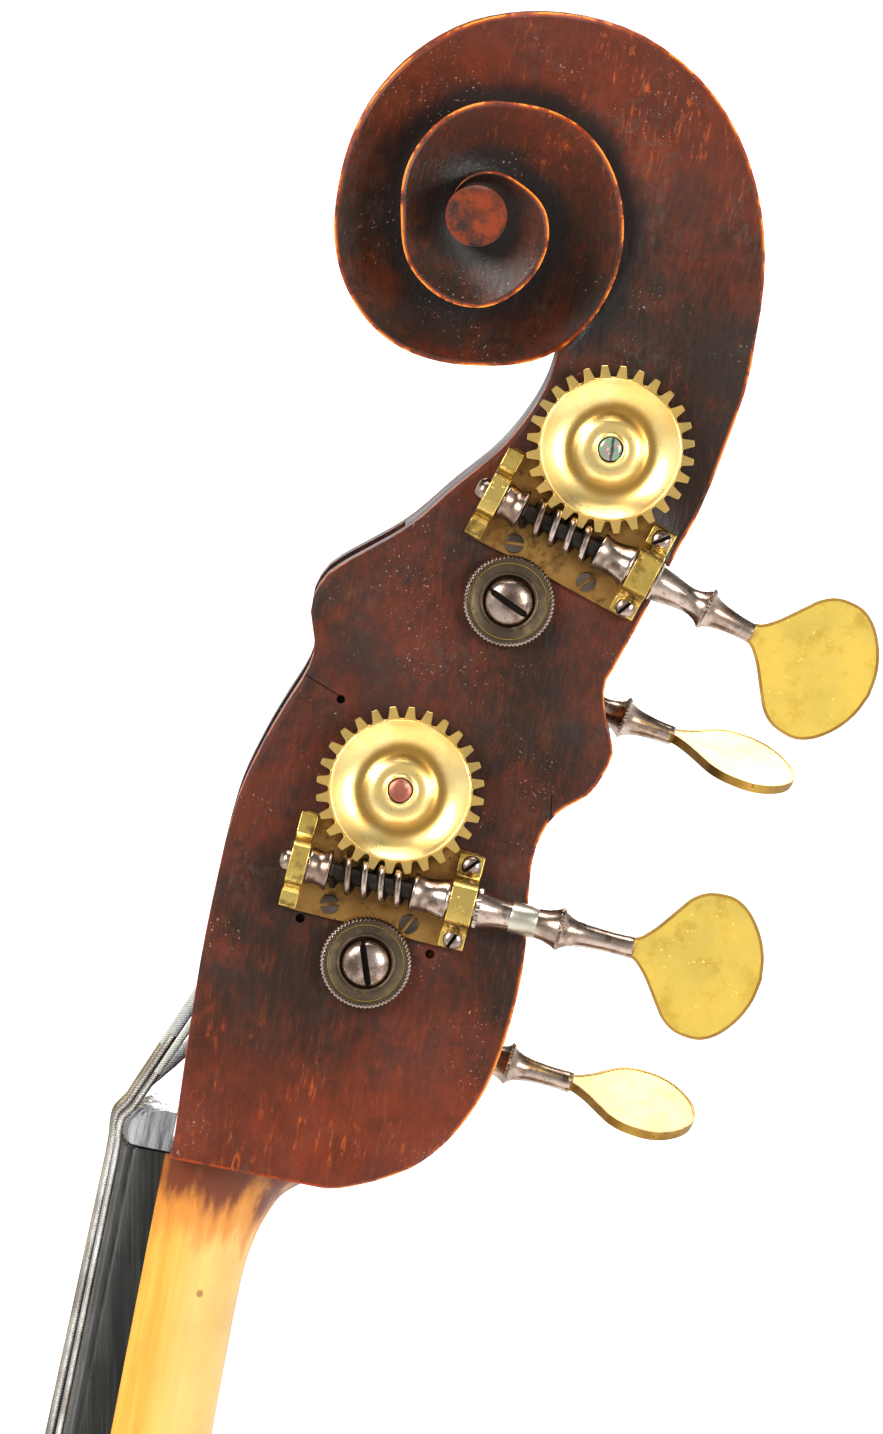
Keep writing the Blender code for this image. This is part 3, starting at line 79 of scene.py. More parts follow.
# ---------------------------------------------------------------- materials
class Shader:
    """A node material with short calls for the nodes used here."""

    def __init__(self, name, **settings):
        self.material = bpy.data.materials.new(name)
        self.material.use_nodes = True
        self.tree = self.material.node_tree
        self.bsdf = self.tree.nodes["Principled BSDF"]
        for socket, value in settings.items():
            self.bsdf.inputs[socket.replace("_", " ")].default_value = value
        self.place = self.add("ShaderNodeTexCoord").outputs["Object"]

    def along_neck(self):
        """Read positions in the neck's own tilted frame from here on."""
        node = self.add("ShaderNodeMapping", vector_type="TEXTURE")
        self.put(node.inputs["Vector"], self.place)
        node.inputs["Location"].default_value = NECK.translation
        node.inputs["Rotation"].default_value = (-TILT, 0.0, 0.0)
        self.place = node.outputs[0]

    def add(self, kind, **properties):
        node = self.tree.nodes.new(kind)
        for key, value in properties.items():
            setattr(node, key, value)
        return node

    def put(self, socket, value):
        if isinstance(value, bpy.types.NodeSocket):
            self.tree.links.new(value, socket)
        else:
            socket.default_value = value

    def stretched(self, x, y, z, turn=(0.0, 0.0, 0.0)):
        """Object coordinates scaled per axis, for grain and brushing."""
        node = self.add("ShaderNodeMapping")
        self.put(node.inputs["Vector"], self.place)
        node.inputs["Scale"].default_value = (x, y, z)
        node.inputs["Rotation"].default_value = turn
        return node.outputs[0]

    def noise(self, scale, detail=3.0, rough=0.5, place=None, distortion=0.0):
        node = self.add("ShaderNodeTexNoise")
        self.put(node.inputs["Vector"], place or self.place)
        node.inputs["Scale"].default_value = scale
        node.inputs["Detail"].default_value = detail
        node.inputs["Roughness"].default_value = rough
        node.inputs["Distortion"].default_value = distortion
        return node.outputs[0]

    def cells(self, scale, place=None):
        node = self.add("ShaderNodeTexVoronoi")
        self.put(node.inputs["Vector"], place or self.place)
        node.inputs["Scale"].default_value = scale
        return node.outputs["Distance"]

    def waves(self, scale, place=None, distortion=0.0, direction="X", detail_scale=1.0):
        node = self.add("ShaderNodeTexWave", wave_type="BANDS", bands_direction=direction)
        self.put(node.inputs["Vector"], place or self.place)
        node.inputs["Scale"].default_value = scale
        node.inputs["Distortion"].default_value = distortion
        node.inputs["Detail Scale"].default_value = detail_scale
        return node.outputs["Fac"]

    def axis(self, name):
        node = self.add("ShaderNodeSeparateXYZ")
        self.put(node.inputs[0], self.place)
        return node.outputs[name]

    def attribute(self, name):
        return self.add("ShaderNodeAttribute", attribute_name=name).outputs["Fac"]

    def span(self, value, low, high, to_low=0.0, to_high=1.0):
        """Map a value from one range to another, clamped and smooth."""
        node = self.add("ShaderNodeMapRange", interpolation_type="SMOOTHSTEP")
        self.put(node.inputs["Value"], value)
        node.inputs["From Min"].default_value = low
        node.inputs["From Max"].default_value = high
        node.inputs["To Min"].default_value = to_low
        node.inputs["To Max"].default_value = to_high
        return node.outputs["Result"]

    def math(self, operation, a, b=0.0):
        node = self.add("ShaderNodeMath", operation=operation)
        self.put(node.inputs[0], a)
        self.put(node.inputs[1], b)
        return node.outputs[0]

    def times(self, a, b):
        return self.math("MULTIPLY", a, b)

    def plus(self, a, b):
        return self.math("ADD", a, b)

    def from_axis(self):
        """Distance from the local z axis, for turned parts."""
        x, y = (self.axis(name) for name in "XY")
        return self.math("SQRT", self.plus(self.times(x, x), self.times(y, y)))

    def pits(self, low, high):
        """Small round pits, in patches where a broader noise passes from low to high."""
        patches = self.span(self.noise(210.0, 3.0), low, high)
        return self.times(self.span(self.cells(620.0), 0.20, 0.10), patches)

    def mix(self, share, a, b):
        node = self.add("ShaderNodeMix", data_type="RGBA")
        self.put(node.inputs[0], share)
        for index, value in ((6, a), (7, b)):
            self.put(node.inputs[index], value if isinstance(value, bpy.types.NodeSocket) else (*value, 1.0))
        return node.outputs[2]

    def finish(self, colour, rough, height=None, depth=0.0002):
        self.put(self.bsdf.inputs["Base Color"], colour)
        self.put(self.bsdf.inputs["Roughness"], rough)
        if height is not None:
            node = self.add("ShaderNodeBump")
            node.inputs["Distance"].default_value = depth
            node.inputs["Strength"].default_value = 1.0
            self.put(node.inputs["Height"], height)
            self.put(self.bsdf.inputs["Normal"], node.outputs[0])
        return self.material


def head_varnish():
    """Old red-brown varnish, painted almost black as shade in the hollows, and worn to bare wood at the
    edges.
    """
    s = Shader("head_varnish", Coat_Weight=0.05, Coat_Roughness=0.25, Specular_IOR_Level=0.20)
    s.along_neck()
    cloud = s.noise(24.0, 9.0, 0.70)
    fine = s.noise(1.0, 6.0, 0.70, s.stretched(700.0, 700.0, 150.0), 0.8)
    low = s.span(s.axis("Z"), 0.052, 0.012)
    top = s.span(s.axis("Z"), 0.235, 0.300)
    red = s.math("MAXIMUM", low, top)
    tone = s.plus(s.span(cloud, 0.40, 0.62, 0.0, 0.58), s.times(red, 0.55))
    tone = s.plus(tone, s.span(fine, 0.35, 0.70, -0.13, 0.13))
    # painted shade: the varnish darkens toward each turn's inner wall, where shade falls
    hollow = s.plus(s.attribute("hollow"), s.span(cloud, 0.3, 0.7, 0.18, -0.18))
    colour = s.mix(tone, (0.021, 0.0096, 0.0054), (0.135, 0.0215, 0.0062))
    fleck = s.times(s.span(fine, 0.54, 0.68), s.span(s.noise(70.0, 5.0, 0.7), 0.44, 0.62))
    colour = s.mix(s.times(fleck, s.span(red, 0.0, 1.0, 0.10, 0.85)), colour, (0.40, 0.078, 0.012))
    dust_and_highlight = s.times(s.span(s.noise(34.0, 4.0), 0.52, 0.66), s.span(s.noise(430.0, 6.0, 0.75), 0.46, 0.64))
    colour = s.mix(s.times(dust_and_highlight, 0.38), colour, (0.058, 0.056, 0.046))
    soot = s.times(s.span(s.noise(52.0, 9.0, 0.76), 0.49, 0.61), s.span(red, 0.0, 1.0, 0.62, 0.12))
    colour = s.mix(soot, colour, (0.016, 0.0115, 0.0095))
    # painted shade: the hollows are mixed toward near-black
    colour = s.mix(s.span(hollow, 0.10, 0.95, 0.0, 0.93), colour, (0.0075, 0.0056, 0.0046))
    rub = s.times(s.math("MAXIMUM", s.attribute("wear"), s.span(s.axis("Z"), 0.0010, 0.0003, 0.0, 0.62)),
                 s.span(s.noise(120.0, 5.0, 0.7), 0.34, 0.56, 0.30, 1.0))
    colour = s.mix(s.span(rub, 0.16, 0.60, 0.0, 0.9), colour, (0.27, 0.036, 0.004))
    colour = s.mix(s.span(rub, 0.62, 0.95, 0.0, 0.95), colour, (0.78, 0.26, 0.024))
    # painted glints: small pale specks scattered over the varnish
    glint_specks = s.times(s.span(s.noise(1300.0, 3.0, 0.6), 0.655, 0.70), s.span(s.noise(45.0, 4.0), 0.50, 0.60))
    colour = s.mix(s.times(glint_specks, 0.55), colour, (0.52, 0.36, 0.26))
    dents = s.plus(s.times(fine, 0.30), s.times(s.noise(260.0, 5.0, 0.65), 0.5))
    return s.finish(colour, s.span(s.noise(50.0, 4.0), 0.35, 0.7, 0.30, 0.50), dents, 0.0004)


def neck_varnish():
    """Amber neck, paler towards the back of the neck and stained red at the graft."""
    s = Shader("neck_varnish", Coat_Weight=0.10, Coat_Roughness=0.2, Specular_IOR_Level=0.3)
    s.along_neck()
    fine = s.noise(1.0, 5.0, 0.6, s.stretched(300.0, 300.0, 12.0))
    flame = s.noise(1.0, 3.0, 0.5, s.stretched(40.0, 40.0, 90.0))
    colour = s.mix(s.span(fine, 0.35, 0.7), (0.60, 0.28, 0.034), (0.72, 0.39, 0.064))
    # paler towards the back of the neck, larger Y in the neck's frame
    colour = s.mix(s.span(s.axis("Y"), 0.004, 0.022, 0.0, 0.95), colour, (0.74, 0.50, 0.165))
    colour = s.mix(s.times(s.span(flame, 0.45, 0.7), 0.25), colour, (0.60, 0.26, 0.045))
    ragged = s.noise(1.0, 5.0, 0.6, s.stretched(150.0, 150.0, 30.0))
    graft = s.plus(s.span(s.axis("Z"), -0.036, 0.0), s.span(ragged, 0.3, 0.7, -0.22, 0.22))
    colour = s.mix(s.span(graft, 0.22, 0.66, 0.0, 0.9), colour, (0.56, 0.20, 0.030))
    colour = s.mix(s.span(graft, 0.62, 1.0, 0.0, 0.95), colour, (0.12, 0.022, 0.008))
    heel = s.plus(s.span(s.axis("Z"), -0.335, -0.40), s.span(s.noise(30.0, 4.0), 0.3, 0.7, -0.3, 0.3))
    colour = s.mix(s.span(heel, 0.1, 0.9), colour, (0.20, 0.045, 0.016))
    marks = s.times(s.span(s.cells(75.0), 0.10, 0.05), s.span(s.noise(33.0, 2.0), 0.52, 0.60))
    colour = s.mix(s.times(marks, 0.7), colour, (0.16, 0.05, 0.02))
    return s.finish(colour, s.span(fine, 0.3, 0.7, 0.30, 0.42), fine, 0.00015)


def wood(name, dark, light, worn, along="Z", grain=520.0, flame=0.0, rough=0.34, coat=0.35, gloom=None):
    """Varnished wood with grain along one axis, optional flame across it, worn paler in places."""
    s = Shader(name, Coat_Weight=coat, Coat_Roughness=0.18)
    run = {"X": (22.0, grain, grain), "Y": (grain, 22.0, grain), "Z": (grain, grain, 22.0)}[along]
    fine = s.noise(1.0, 4.0, 0.55, s.stretched(*run))
    broad = s.noise(3.2, 4.0, 0.6)
    colour = s.mix(s.span(fine, 0.32, 0.70), dark, light)
    if flame:
        across = {"X": (70.0, 6.0, 6.0), "Y": (6.0, 70.0, 6.0), "Z": (6.0, 6.0, 70.0)}[along]
        band = s.noise(1.0, 3.0, 0.5, s.stretched(*across), 0.6)
        colour = s.mix(s.times(s.span(band, 0.42, 0.62), flame), colour, worn)
    colour = s.mix(s.span(broad, 0.35, 0.80, 0.0, 0.22), colour, worn)
    if gloom:
        colour = s.mix(s.span(s.noise(2.4, 4.0, 0.55), 0.35, 0.75, 0.0, 0.65), colour, gloom)
    return s.finish(colour, s.span(broad, 0.3, 0.7, rough - 0.06, rough + 0.10), fine, 0.00012)


def metal(name, base, shade, rough, spots=0.35, brush=(140.0, 140.0, 140.0), stain=None, grip=0.10):
    """Old metal: brushed, speckled, and tarnished in clouds."""
    s = Shader(name, Metallic=1.0)
    cloud = s.noise(70.0, 5.0, 0.62)
    fine = s.noise(9.0, 4.0, 0.6, s.stretched(*brush))
    colour = s.mix(s.span(cloud, 0.35, 0.70), base, shade)
    if stain:
        colour = s.mix(s.times(s.span(s.noise(150.0, 5.0, 0.7), 0.50, 0.66), 0.9), colour, stain)
    pits = s.pits(0.50, 0.62)
    colour = s.mix(s.times(pits, spots), colour, tuple(0.22 * part for part in shade))
    gloss = s.plus(s.span(cloud, 0.3, 0.7, rough, rough + 0.10), s.times(pits, grip))
    return s.finish(colour, gloss, s.math("SUBTRACT", s.times(fine, 0.25), pits), 0.00008)


def worm_steel():
    """Steel whose thread is painted near-black as shade down at the root."""
    s = Shader("worm_steel", Metallic=1.0)
    cloud = s.noise(75.0, 5.0, 0.65)
    away = s.from_axis()
    inside = s.span(s.math("ABSOLUTE", s.axis("Z")), 0.0126, 0.0116)
    # painted shade: the thread's root near the core is darkened almost to black
    root_shade = s.times(s.span(away, 0.0050, 0.0038), inside)
    colour = s.mix(s.span(cloud, 0.38, 0.64), (0.54, 0.43, 0.36), (0.26, 0.18, 0.135))
    colour = s.mix(s.span(s.noise(230.0, 5.0, 0.7), 0.50, 0.66, 0.0, 0.75), colour, (0.10, 0.060, 0.042))
    colour = s.mix(s.times(root_shade, 0.95), colour, (0.020, 0.016, 0.013))
    rough = s.plus(s.span(cloud, 0.3, 0.7, 0.16, 0.27), s.times(root_shade, 0.35))
    return s.finish(colour, rough, s.noise(420.0, 4.0), 0.00006)


def gear_brass():
    """Bright brass, painted darker brown as shade in the bowl's valley and round the hub."""
    s = Shader("gear_brass", Metallic=1.0)
    away = s.from_axis()
    cloud = s.noise(90.0, 5.0, 0.62)
    turned = s.noise(1.0, 3.0, 0.5, s.stretched(60.0, 60.0, 9000.0))
    colour = s.mix(s.span(cloud, 0.35, 0.70), (0.95, 0.72, 0.30), (0.90, 0.60, 0.18))
    # painted shade: a darker brown ring in the bowl between hub and rim
    bowl_shade = s.times(s.span(away, 0.0068, 0.0090), s.span(away, 0.0140, 0.0105))
    bowl_shade = s.plus(bowl_shade, s.span(cloud, 0.35, 0.65, -0.30, 0.05))
    colour = s.mix(s.span(bowl_shade, 0.05, 0.95, 0.0, 0.9), colour, (0.40, 0.21, 0.04))
    colour = s.mix(s.span(away, 0.0178, 0.0186, 0.0, 0.75), colour, (0.68, 0.44, 0.12))
    pits = s.pits(0.54, 0.64)
    colour = s.mix(s.times(pits, 0.7), colour, (0.22, 0.09, 0.015))
    return s.finish(colour, s.span(cloud, 0.3, 0.7, 0.24, 0.34), turned, 0.00003)


def ebony():
    s = Shader("ebony", Coat_Weight=0.03, Coat_Roughness=0.22, Specular_IOR_Level=0.24)
    fine = s.noise(1.0, 4.0, 0.6, s.stretched(600.0, 600.0, 14.0))
    colour = s.mix(s.span(fine, 0.40, 0.72), (0.008, 0.009, 0.008), (0.030, 0.031, 0.026))
    return s.finish(colour, s.span(s.noise(80.0, 4.0), 0.3, 0.7, 0.24, 0.40), fine, 0.0001)


def nut_ebony():
    s = Shader("nut_ebony", Coat_Weight=0.9, Coat_Roughness=0.12)
    s.along_neck()
    # painted highlights: pale grey streaks over the black ebony stand in for its glossy reflections
    dust_and_highlight = s.noise(1.0, 5.0, 0.65, s.stretched(420.0, 420.0, 60.0))
    colour = s.mix(s.span(dust_and_highlight, 0.34, 0.66), (0.050, 0.052, 0.056), (0.34, 0.35, 0.37))
    return s.finish(colour, s.span(dust_and_highlight, 0.3, 0.7, 0.20, 0.34), dust_and_highlight, 0.0001)


def wound(name, base, dark, pitch, rough=0.30):
    """A string's outer winding: fine turns across its length."""
    s = Shader(name, Metallic=1.0)
    turns = s.waves(math.pi / (10.0 * pitch * MM), direction="Z")
    colour = s.mix(s.span(s.noise(60.0, 3.0), 0.35, 0.65), base, dark)
    colour = s.mix(s.span(turns, 0.25, 0.0, 0.0, 0.6), colour, dark)
    return s.finish(colour, s.span(s.noise(200.0, 3.0), 0.3, 0.7, rough, rough + 0.15), turns, 0.00012)


def silk(name, base, dark):
    """Thread lapping over a string's end."""
    s = Shader(name, Sheen_Weight=0.4, Sheen_Roughness=0.4)
    turns = s.waves(math.pi / (10.0 * 0.55 * MM), direction="Z", distortion=1.5, detail_scale=6.0)
    fuzz = s.noise(900.0, 3.0, 0.6)
    colour = s.mix(s.span(turns, 0.1, 0.7), dark, base)
    colour = s.mix(s.times(s.span(fuzz, 0.45, 0.7), 0.35), colour, (0.75, 0.75, 0.70))
    return s.finish(colour, s.span(fuzz, 0.3, 0.7, 0.60, 0.85), s.plus(turns, fuzz), 0.00022)


def rubber():
    s = Shader("rubber_black")
    fine = s.noise(700.0, 3.0)
    colour = s.mix(s.span(s.noise(90.0, 3.0), 0.4, 0.7), (0.018, 0.018, 0.019), (0.045, 0.044, 0.042))
    return s.finish(colour, s.span(fine, 0.3, 0.7, 0.62, 0.80), fine, 0.00012)


def shell_inlay():
    """Mother-of-pearl: banded grey, green, pink and blue."""
    s = Shader("shell_inlay", Coat_Weight=0.15, Coat_Roughness=0.12, Metallic=0.2)
    band = s.waves(95.0, s.stretched(1.0, 1.0, 1.0, (0.0, 0.0, 0.9)), 6.0, "X", 2.0)
    hue = s.noise(420.0, 3.0, 0.6, None, 1.2)
    colour = s.mix(s.span(hue, 0.42, 0.58), (0.14, 0.30, 0.16), (0.34, 0.17, 0.20))
    colour = s.mix(s.span(hue, 0.56, 0.66), colour, (0.42, 0.42, 0.28))
    colour = s.mix(s.span(band, 0.30, 0.08), colour, (0.05, 0.05, 0.06))
    return s.finish(colour, s.span(hue, 0.3, 0.7, 0.14, 0.28))


def spruce_top():
    """Spruce with straight reed lines under orange-brown varnish."""
    s = Shader("spruce_top", Coat_Weight=0.4, Coat_Roughness=0.16)
    sway = s.stretched(1.0, 0.0, 0.06)
    reeds = s.waves(math.pi / (10.0 * 0.0026), sway, 2.0, "X", 1.5)
    broad = s.noise(5.0, 4.0, 0.6)
    colour = s.mix(s.span(reeds, 0.15, 0.85), (0.085, 0.026, 0.0090), (0.185, 0.062, 0.018))
    colour = s.mix(s.span(broad, 0.45, 0.72, 0.0, 0.65), colour, (0.28, 0.110, 0.032))
    colour = s.mix(s.span(s.noise(11.0, 5.0, 0.66), 0.52, 0.74, 0.0, 0.7), colour, (0.045, 0.014, 0.0075))
    return s.finish(colour, s.span(broad, 0.3, 0.7, 0.28, 0.42), reeds, 0.00010)


MAPLE_DARK = (0.085, 0.021, 0.0080)
MAPLE_LIGHT = (0.125, 0.034, 0.011)
MAPLE_GLOOM = (0.034, 0.0115, 0.0068)
PALETTE = {
    "head": head_varnish(),
    "neck": neck_varnish(),
    "spruce": spruce_top(),
    "maple": wood("flamed_maple", MAPLE_DARK, MAPLE_LIGHT, (0.235, 0.085, 0.025), "Z", 420.0, 0.42,
                  gloom=MAPLE_GLOOM),
    "rib_maple": wood("rib_maple", MAPLE_DARK, MAPLE_LIGHT, (0.225, 0.080, 0.024), "Y", 420.0, 0.0,
                      gloom=MAPLE_GLOOM),
    "inner": wood("inner_spruce", (0.60, 0.42, 0.22), (0.74, 0.56, 0.33), (0.66, 0.48, 0.28), "Z", 500.0, 0.0,
                  0.62, 0.0),
    "bridge": wood("bridge_maple", (0.50, 0.29, 0.12), (0.68, 0.44, 0.20), (0.78, 0.56, 0.30), "X", 620.0,
                   0.25, 0.44, 0.05, (0.30, 0.15, 0.06)),
    "ebony": ebony(),
    "nut": nut_ebony(),
    "brass": gear_brass(),
    "key_brass": metal("key_brass", (0.82, 0.60, 0.125), (0.76, 0.53, 0.10), 0.36, 0.45,
                       stain=(0.68, 0.45, 0.075)),
    "plate_brass": metal("plate_brass", (0.34, 0.19, 0.055), (0.19, 0.095, 0.028), 0.38, 0.9,
                         stain=(0.11, 0.052, 0.018), grip=0.3),
    "bearing_brass": metal("bearing_brass", (0.80, 0.58, 0.16), (0.52, 0.34, 0.075), 0.24, 0.95,
                           stain=(0.22, 0.13, 0.035)),
    "steel": worm_steel(),
    "silvered": metal("silvered_steel", (0.60, 0.58, 0.48), (0.42, 0.38, 0.29), 0.28, 0.5,
                      stain=(0.44, 0.40, 0.30)),
    "gunmetal": metal("gunmetal", (0.090, 0.068, 0.045), (0.048, 0.036, 0.025), 0.40, 0.6,
                      stain=(0.15, 0.105, 0.062)),
    # painted shade: the key's edge, the same brass as its face, in a darker brown
    "rim_shade_brass": metal("rim_shade_brass", (0.46, 0.27, 0.06), (0.24, 0.13, 0.03), 0.40, 0.6),
    "dark_screw": metal("dark_screw", (0.055, 0.042, 0.034), (0.13, 0.10, 0.08), 0.36, 0.6),
    "screw_steel": metal("screw_steel", (0.46, 0.36, 0.31), (0.24, 0.17, 0.14), 0.20, 0.6,
                         stain=(0.13, 0.085, 0.060)),
    # near-black inside the screw slots
    "slot_dark": metal("dark_slot_inside", (0.016, 0.012, 0.010), (0.032, 0.022, 0.017), 0.55, 0.6),
    "copper": metal("copper_inlay", (0.52, 0.20, 0.13), (0.30, 0.09, 0.06), 0.34, 0.6,
                    stain=(0.62, 0.40, 0.30)),
    "chrome": metal("polished_steel", (0.74, 0.74, 0.75), (0.62, 0.62, 0.64), 0.16, 0.3),
    "shell": shell_inlay(),
    "rubber": rubber(),
    "silver_string": wound("silver_string", (0.72, 0.71, 0.68), (0.34, 0.31, 0.27), 0.42),
    "gold_string": wound("gold_string", (0.62, 0.50, 0.34), (0.26, 0.20, 0.13), 0.5),
    "grey_silk": silk("grey_silk", (0.52, 0.52, 0.53), (0.30, 0.30, 0.32)),
    "green_silk": silk("green_silk", (0.62, 0.65, 0.55), (0.40, 0.43, 0.35)),
    "blue_silk": silk("blue_silk", (0.09, 0.09, 0.17), (0.04, 0.04, 0.09)),
}


# ---------------------------------------------------------------- mesh tools
def piece(name, bm, finish, body, nodes=(), matrix=WORLD, sharp=35.0, bevel=0.0, segments=2):
    """Make one object of a bmesh whose lengths are mm, tie it to its body and hide the CAD nodes it stands in
    for.

    Only finishes that read a turned part's own axis keep that part's frame; the rest lie in world axes.
    """
    bmesh.ops.remove_doubles(bm, verts=bm.verts, dist=1e-4)
    bmesh.ops.recalc_face_normals(bm, faces=bm.faces)
    mesh = bpy.data.meshes.new(name)
    bm.to_mesh(mesh)
    bm.free()
    mesh.transform(Matrix.Scale(MM, 4))
    mesh.materials.append(PALETTE[finish])
    if any(polygon.material_index for polygon in mesh.polygons):
        mesh.materials.append(PALETTE["slot_dark"])
    if finish not in ("brass", "steel"):
        mesh.transform(matrix)
        matrix = WORLD
    item = bpy.data.objects.new(name, mesh)
    bpy.context.collection.objects.link(item)
    item.matrix_world = matrix
    soften(item, sharp)
    if bevel:
        add_bevel(item, bevel, segments)
    attach(item, body, nodes)
    return item


def soften(item, sharp):
    item.data.polygons.foreach_set("use_smooth", [True] * len(item.data.polygons))
    item.data.set_sharp_from_angle(angle=math.radians(sharp))
    item.data.update()


def add_bevel(item, width, segments=2):
    bevel = item.modifiers.new("bevel", "BEVEL")
    bevel.width = width * MM
    bevel.segments = segments
    bevel.limit_method = "ANGLE"
    bevel.angle_limit = math.radians(35.0)
    bevel.harden_normals = True
    bevel.use_clamp_overlap = True


def attach(item, body, nodes=()):
    bpy.context.view_layer.update()
    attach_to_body(item, body)
    if nodes:
        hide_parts(*nodes)


def mirror(bm):
    """Turn a treble-side machine piece into a bass-side one."""
    for vert in bm.verts:
        vert.co.z = -vert.co.z
    bmesh.ops.reverse_faces(bm, faces=bm.faces)


def skinned(rows, closed=True, caps=True):
    """A bmesh through a list of equally long rings; each ring is closed on itself when closed is set."""
    bm = bmesh.new()
    rings = [[bm.verts.new(point) for point in row] for row in rows]
    count = len(rings[0])
    span = count if closed else count - 1
    for lower, upper in zip(rings, rings[1:]):
        for i in range(span):
            j = (i + 1) % count
            bm.faces.new((lower[i], lower[j], upper[j], upper[i]))
    if closed and caps:
        for ring in (rings[0], rings[-1]):
            bm.faces.new(ring)
    return bm


def lathed(profile, steps=48, radius_at=None):
    """A (radius, height) profile turned about z; a profile that closes on itself makes a ring."""
    rows = []
    for radius, height in profile:
        row = []
        for i in range(steps):
            angle = 2.0 * math.pi * i / steps
            reach = radius_at(radius, height, i) if radius_at else radius
            row.append((reach * math.cos(angle), reach * math.sin(angle), height))
        rows.append(row)
    return skinned(rows, caps=profile[0] != profile[-1])


def slab(outline, low, high):
    """An outline of (x, y) points extruded along z."""
    return skinned([[(x, y, height) for x, y in outline] for height in (low, high)])


def box_mesh(low, high):
    corners = [(low[0], low[1]), (high[0], low[1]), (high[0], high[1]), (low[0], high[1])]
    return slab(corners, low[2], high[2])


def combine(bm, other, operation):
    """Exact boolean between two bmeshes; the second is used up."""
    items = []
    for part in (bm, other):
        bmesh.ops.remove_doubles(part, verts=part.verts, dist=1e-5)
        bmesh.ops.recalc_face_normals(part, faces=part.faces)
        mesh = bpy.data.meshes.new("temporary")
        part.to_mesh(mesh)
        part.free()
        item = bpy.data.objects.new("temporary", mesh)
        bpy.context.collection.objects.link(item)
        items.append(item)
    cut = items[0].modifiers.new("cut", "BOOLEAN")
    cut.operation = operation
    cut.solver = "EXACT"
    cut.object = items[1]
    bpy.context.view_layer.update()
    result = bmesh.new()
    result.from_object(items[0], bpy.context.evaluated_depsgraph_get())
    for item in items:
        mesh = item.data
        bpy.data.objects.remove(item)
        bpy.data.meshes.remove(mesh)
    return result


def cut_slot(bm, outline, floor, turn):
    """Cut a screwdriver slot down to a floor height and mark its inside with the second material."""
    notch = slab(outline, floor, floor + 12.0)
    spin = Matrix.Rotation(turn, 4, "Z")
    notch.transform(spin)
    bm = combine(bm, notch, "DIFFERENCE")
    back = spin.inverted()
    half = max(abs(y) for _, y in outline) + 1e-3
    for face in bm.faces:
        if all(abs((back @ v.co).y) < half and v.co.z > floor - 1e-3 for v in face.verts):
            face.material_index = 1
    return bm


def smooth(points, per_span=4):
    """A Catmull-Rom curve through points of any dimension."""
    result = []
    last = len(points) - 1
    for i in range(last):
        around = [Vector(points[max(0, min(last, i + k))]) for k in (-1, 0, 1, 2)]
        for step in range(per_span):
            t = step / per_span
            a, b, c, d = around
            result.append(0.5 * (2.0 * b + (c - a) * t + (2.0 * a - 5.0 * b + 4.0 * c - d) * t * t
                                 + (3.0 * b - a - 3.0 * c + d) * t ** 3))
    result.append(Vector(points[last]))
    return result


def spread(points, count):
    """The same curve as count + 1 points at equal distances."""
    reach = [0.0]
    for first, second in zip(points, points[1:]):
        reach.append(reach[-1] + (second - first).length)
    result = []
    index = 0
    for i in range(count + 1):
        goal = reach[-1] * i / count
        while index < len(points) - 2 and reach[index + 1] < goal:
            index += 1
        length = max(reach[index + 1] - reach[index], 1e-9)
        result.append(points[index].lerp(points[index + 1], (goal - reach[index]) / length))
    return result


def ease(value, low, high):
    """Smooth step from 0 to 1."""
    t = max(0.0, min(1.0, (value - low) / (high - low)))
    return t * t * (3.0 - 2.0 * t)


def table(rows, x):
    """Smooth interpolation in (x, value) rows."""
    last = len(rows) - 1
    if x <= rows[0][0]:
        return rows[0][1]
    for i in range(last):
        x0, y0 = rows[i]
        x1, y1 = rows[i + 1]
        if x <= x1:
            before = rows[max(i - 1, 0)]
            after = rows[min(i + 2, last)]
            m0 = (y1 - before[1]) / (x1 - before[0]) * (x1 - x0)
            m1 = (after[1] - y0) / (after[0] - x0) * (x1 - x0)
            t = (x - x0) / (x1 - x0)
            return (y0 * (2 * t ** 3 - 3 * t * t + 1) + m0 * (t ** 3 - 2 * t * t + t)
                    + y1 * (3 * t * t - 2 * t ** 3) + m1 * (t ** 3 - t * t))
    return rows[last][1]


def tube(points, radius, sides=12, ripple=None):
    """A closed tube along 3-D points; ripple changes the radius along it."""
    rows = []
    normal = None
    last = len(points) - 1
    for i, point in enumerate(points):
        along = (points[min(i + 1, last)] - points[max(i - 1, 0)]).normalized()
        if normal is None:
            normal = along.orthogonal().normalized()
        normal = (normal - along * normal.dot(along)).normalized()
        other = along.cross(normal)
        reach = radius * (ripple(i / last) if ripple else 1.0)
        rows.append([point + (normal * math.cos(a) + other * math.sin(a)) * reach
                     for a in (2.0 * math.pi * k / sides for k in range(sides))])
    return skinned(rows)


# ---------------------------------------------------------------- head
FRONT_EDGE = [(1.6, 0.0), (1.5, 7.6), (0.4, 28.1), (-0.5, 59.1), (0.7, 90.5), (4.3, 106.8), (8.1, 118.0),
              (12.4, 129.2), (12.8, 136.0), (10.2, 144.0), (10.9, 149.7), (14.4, 155.7), (30.2, 169.2),
              (40.1, 181.6), (50.0, 193.5), (56.2, 205.0), (59.0, 214.0), (59.6, 221.2)]
BACK_EDGE = [(36.0, 0.0), (45.7, 0.6), (62.3, 9.0), (72.6, 21.4), (78.7, 38.2), (80.9, 64.0), (78.0, 90.0),
             (79.5, 100.7), (83.1, 106.5), (89.0, 111.5), (92.1, 118.7), (92.9, 124.0), (90.4, 128.8),
             (87.5, 138.6), (88.9, 143.9), (93.8, 159.1), (99.4, 177.1)]
EYE = Vector((32.3, 251.5))
EYE_R = 8.0
END_ANGLE = 866                    # where the scroll's last turn runs into the eye, in degrees
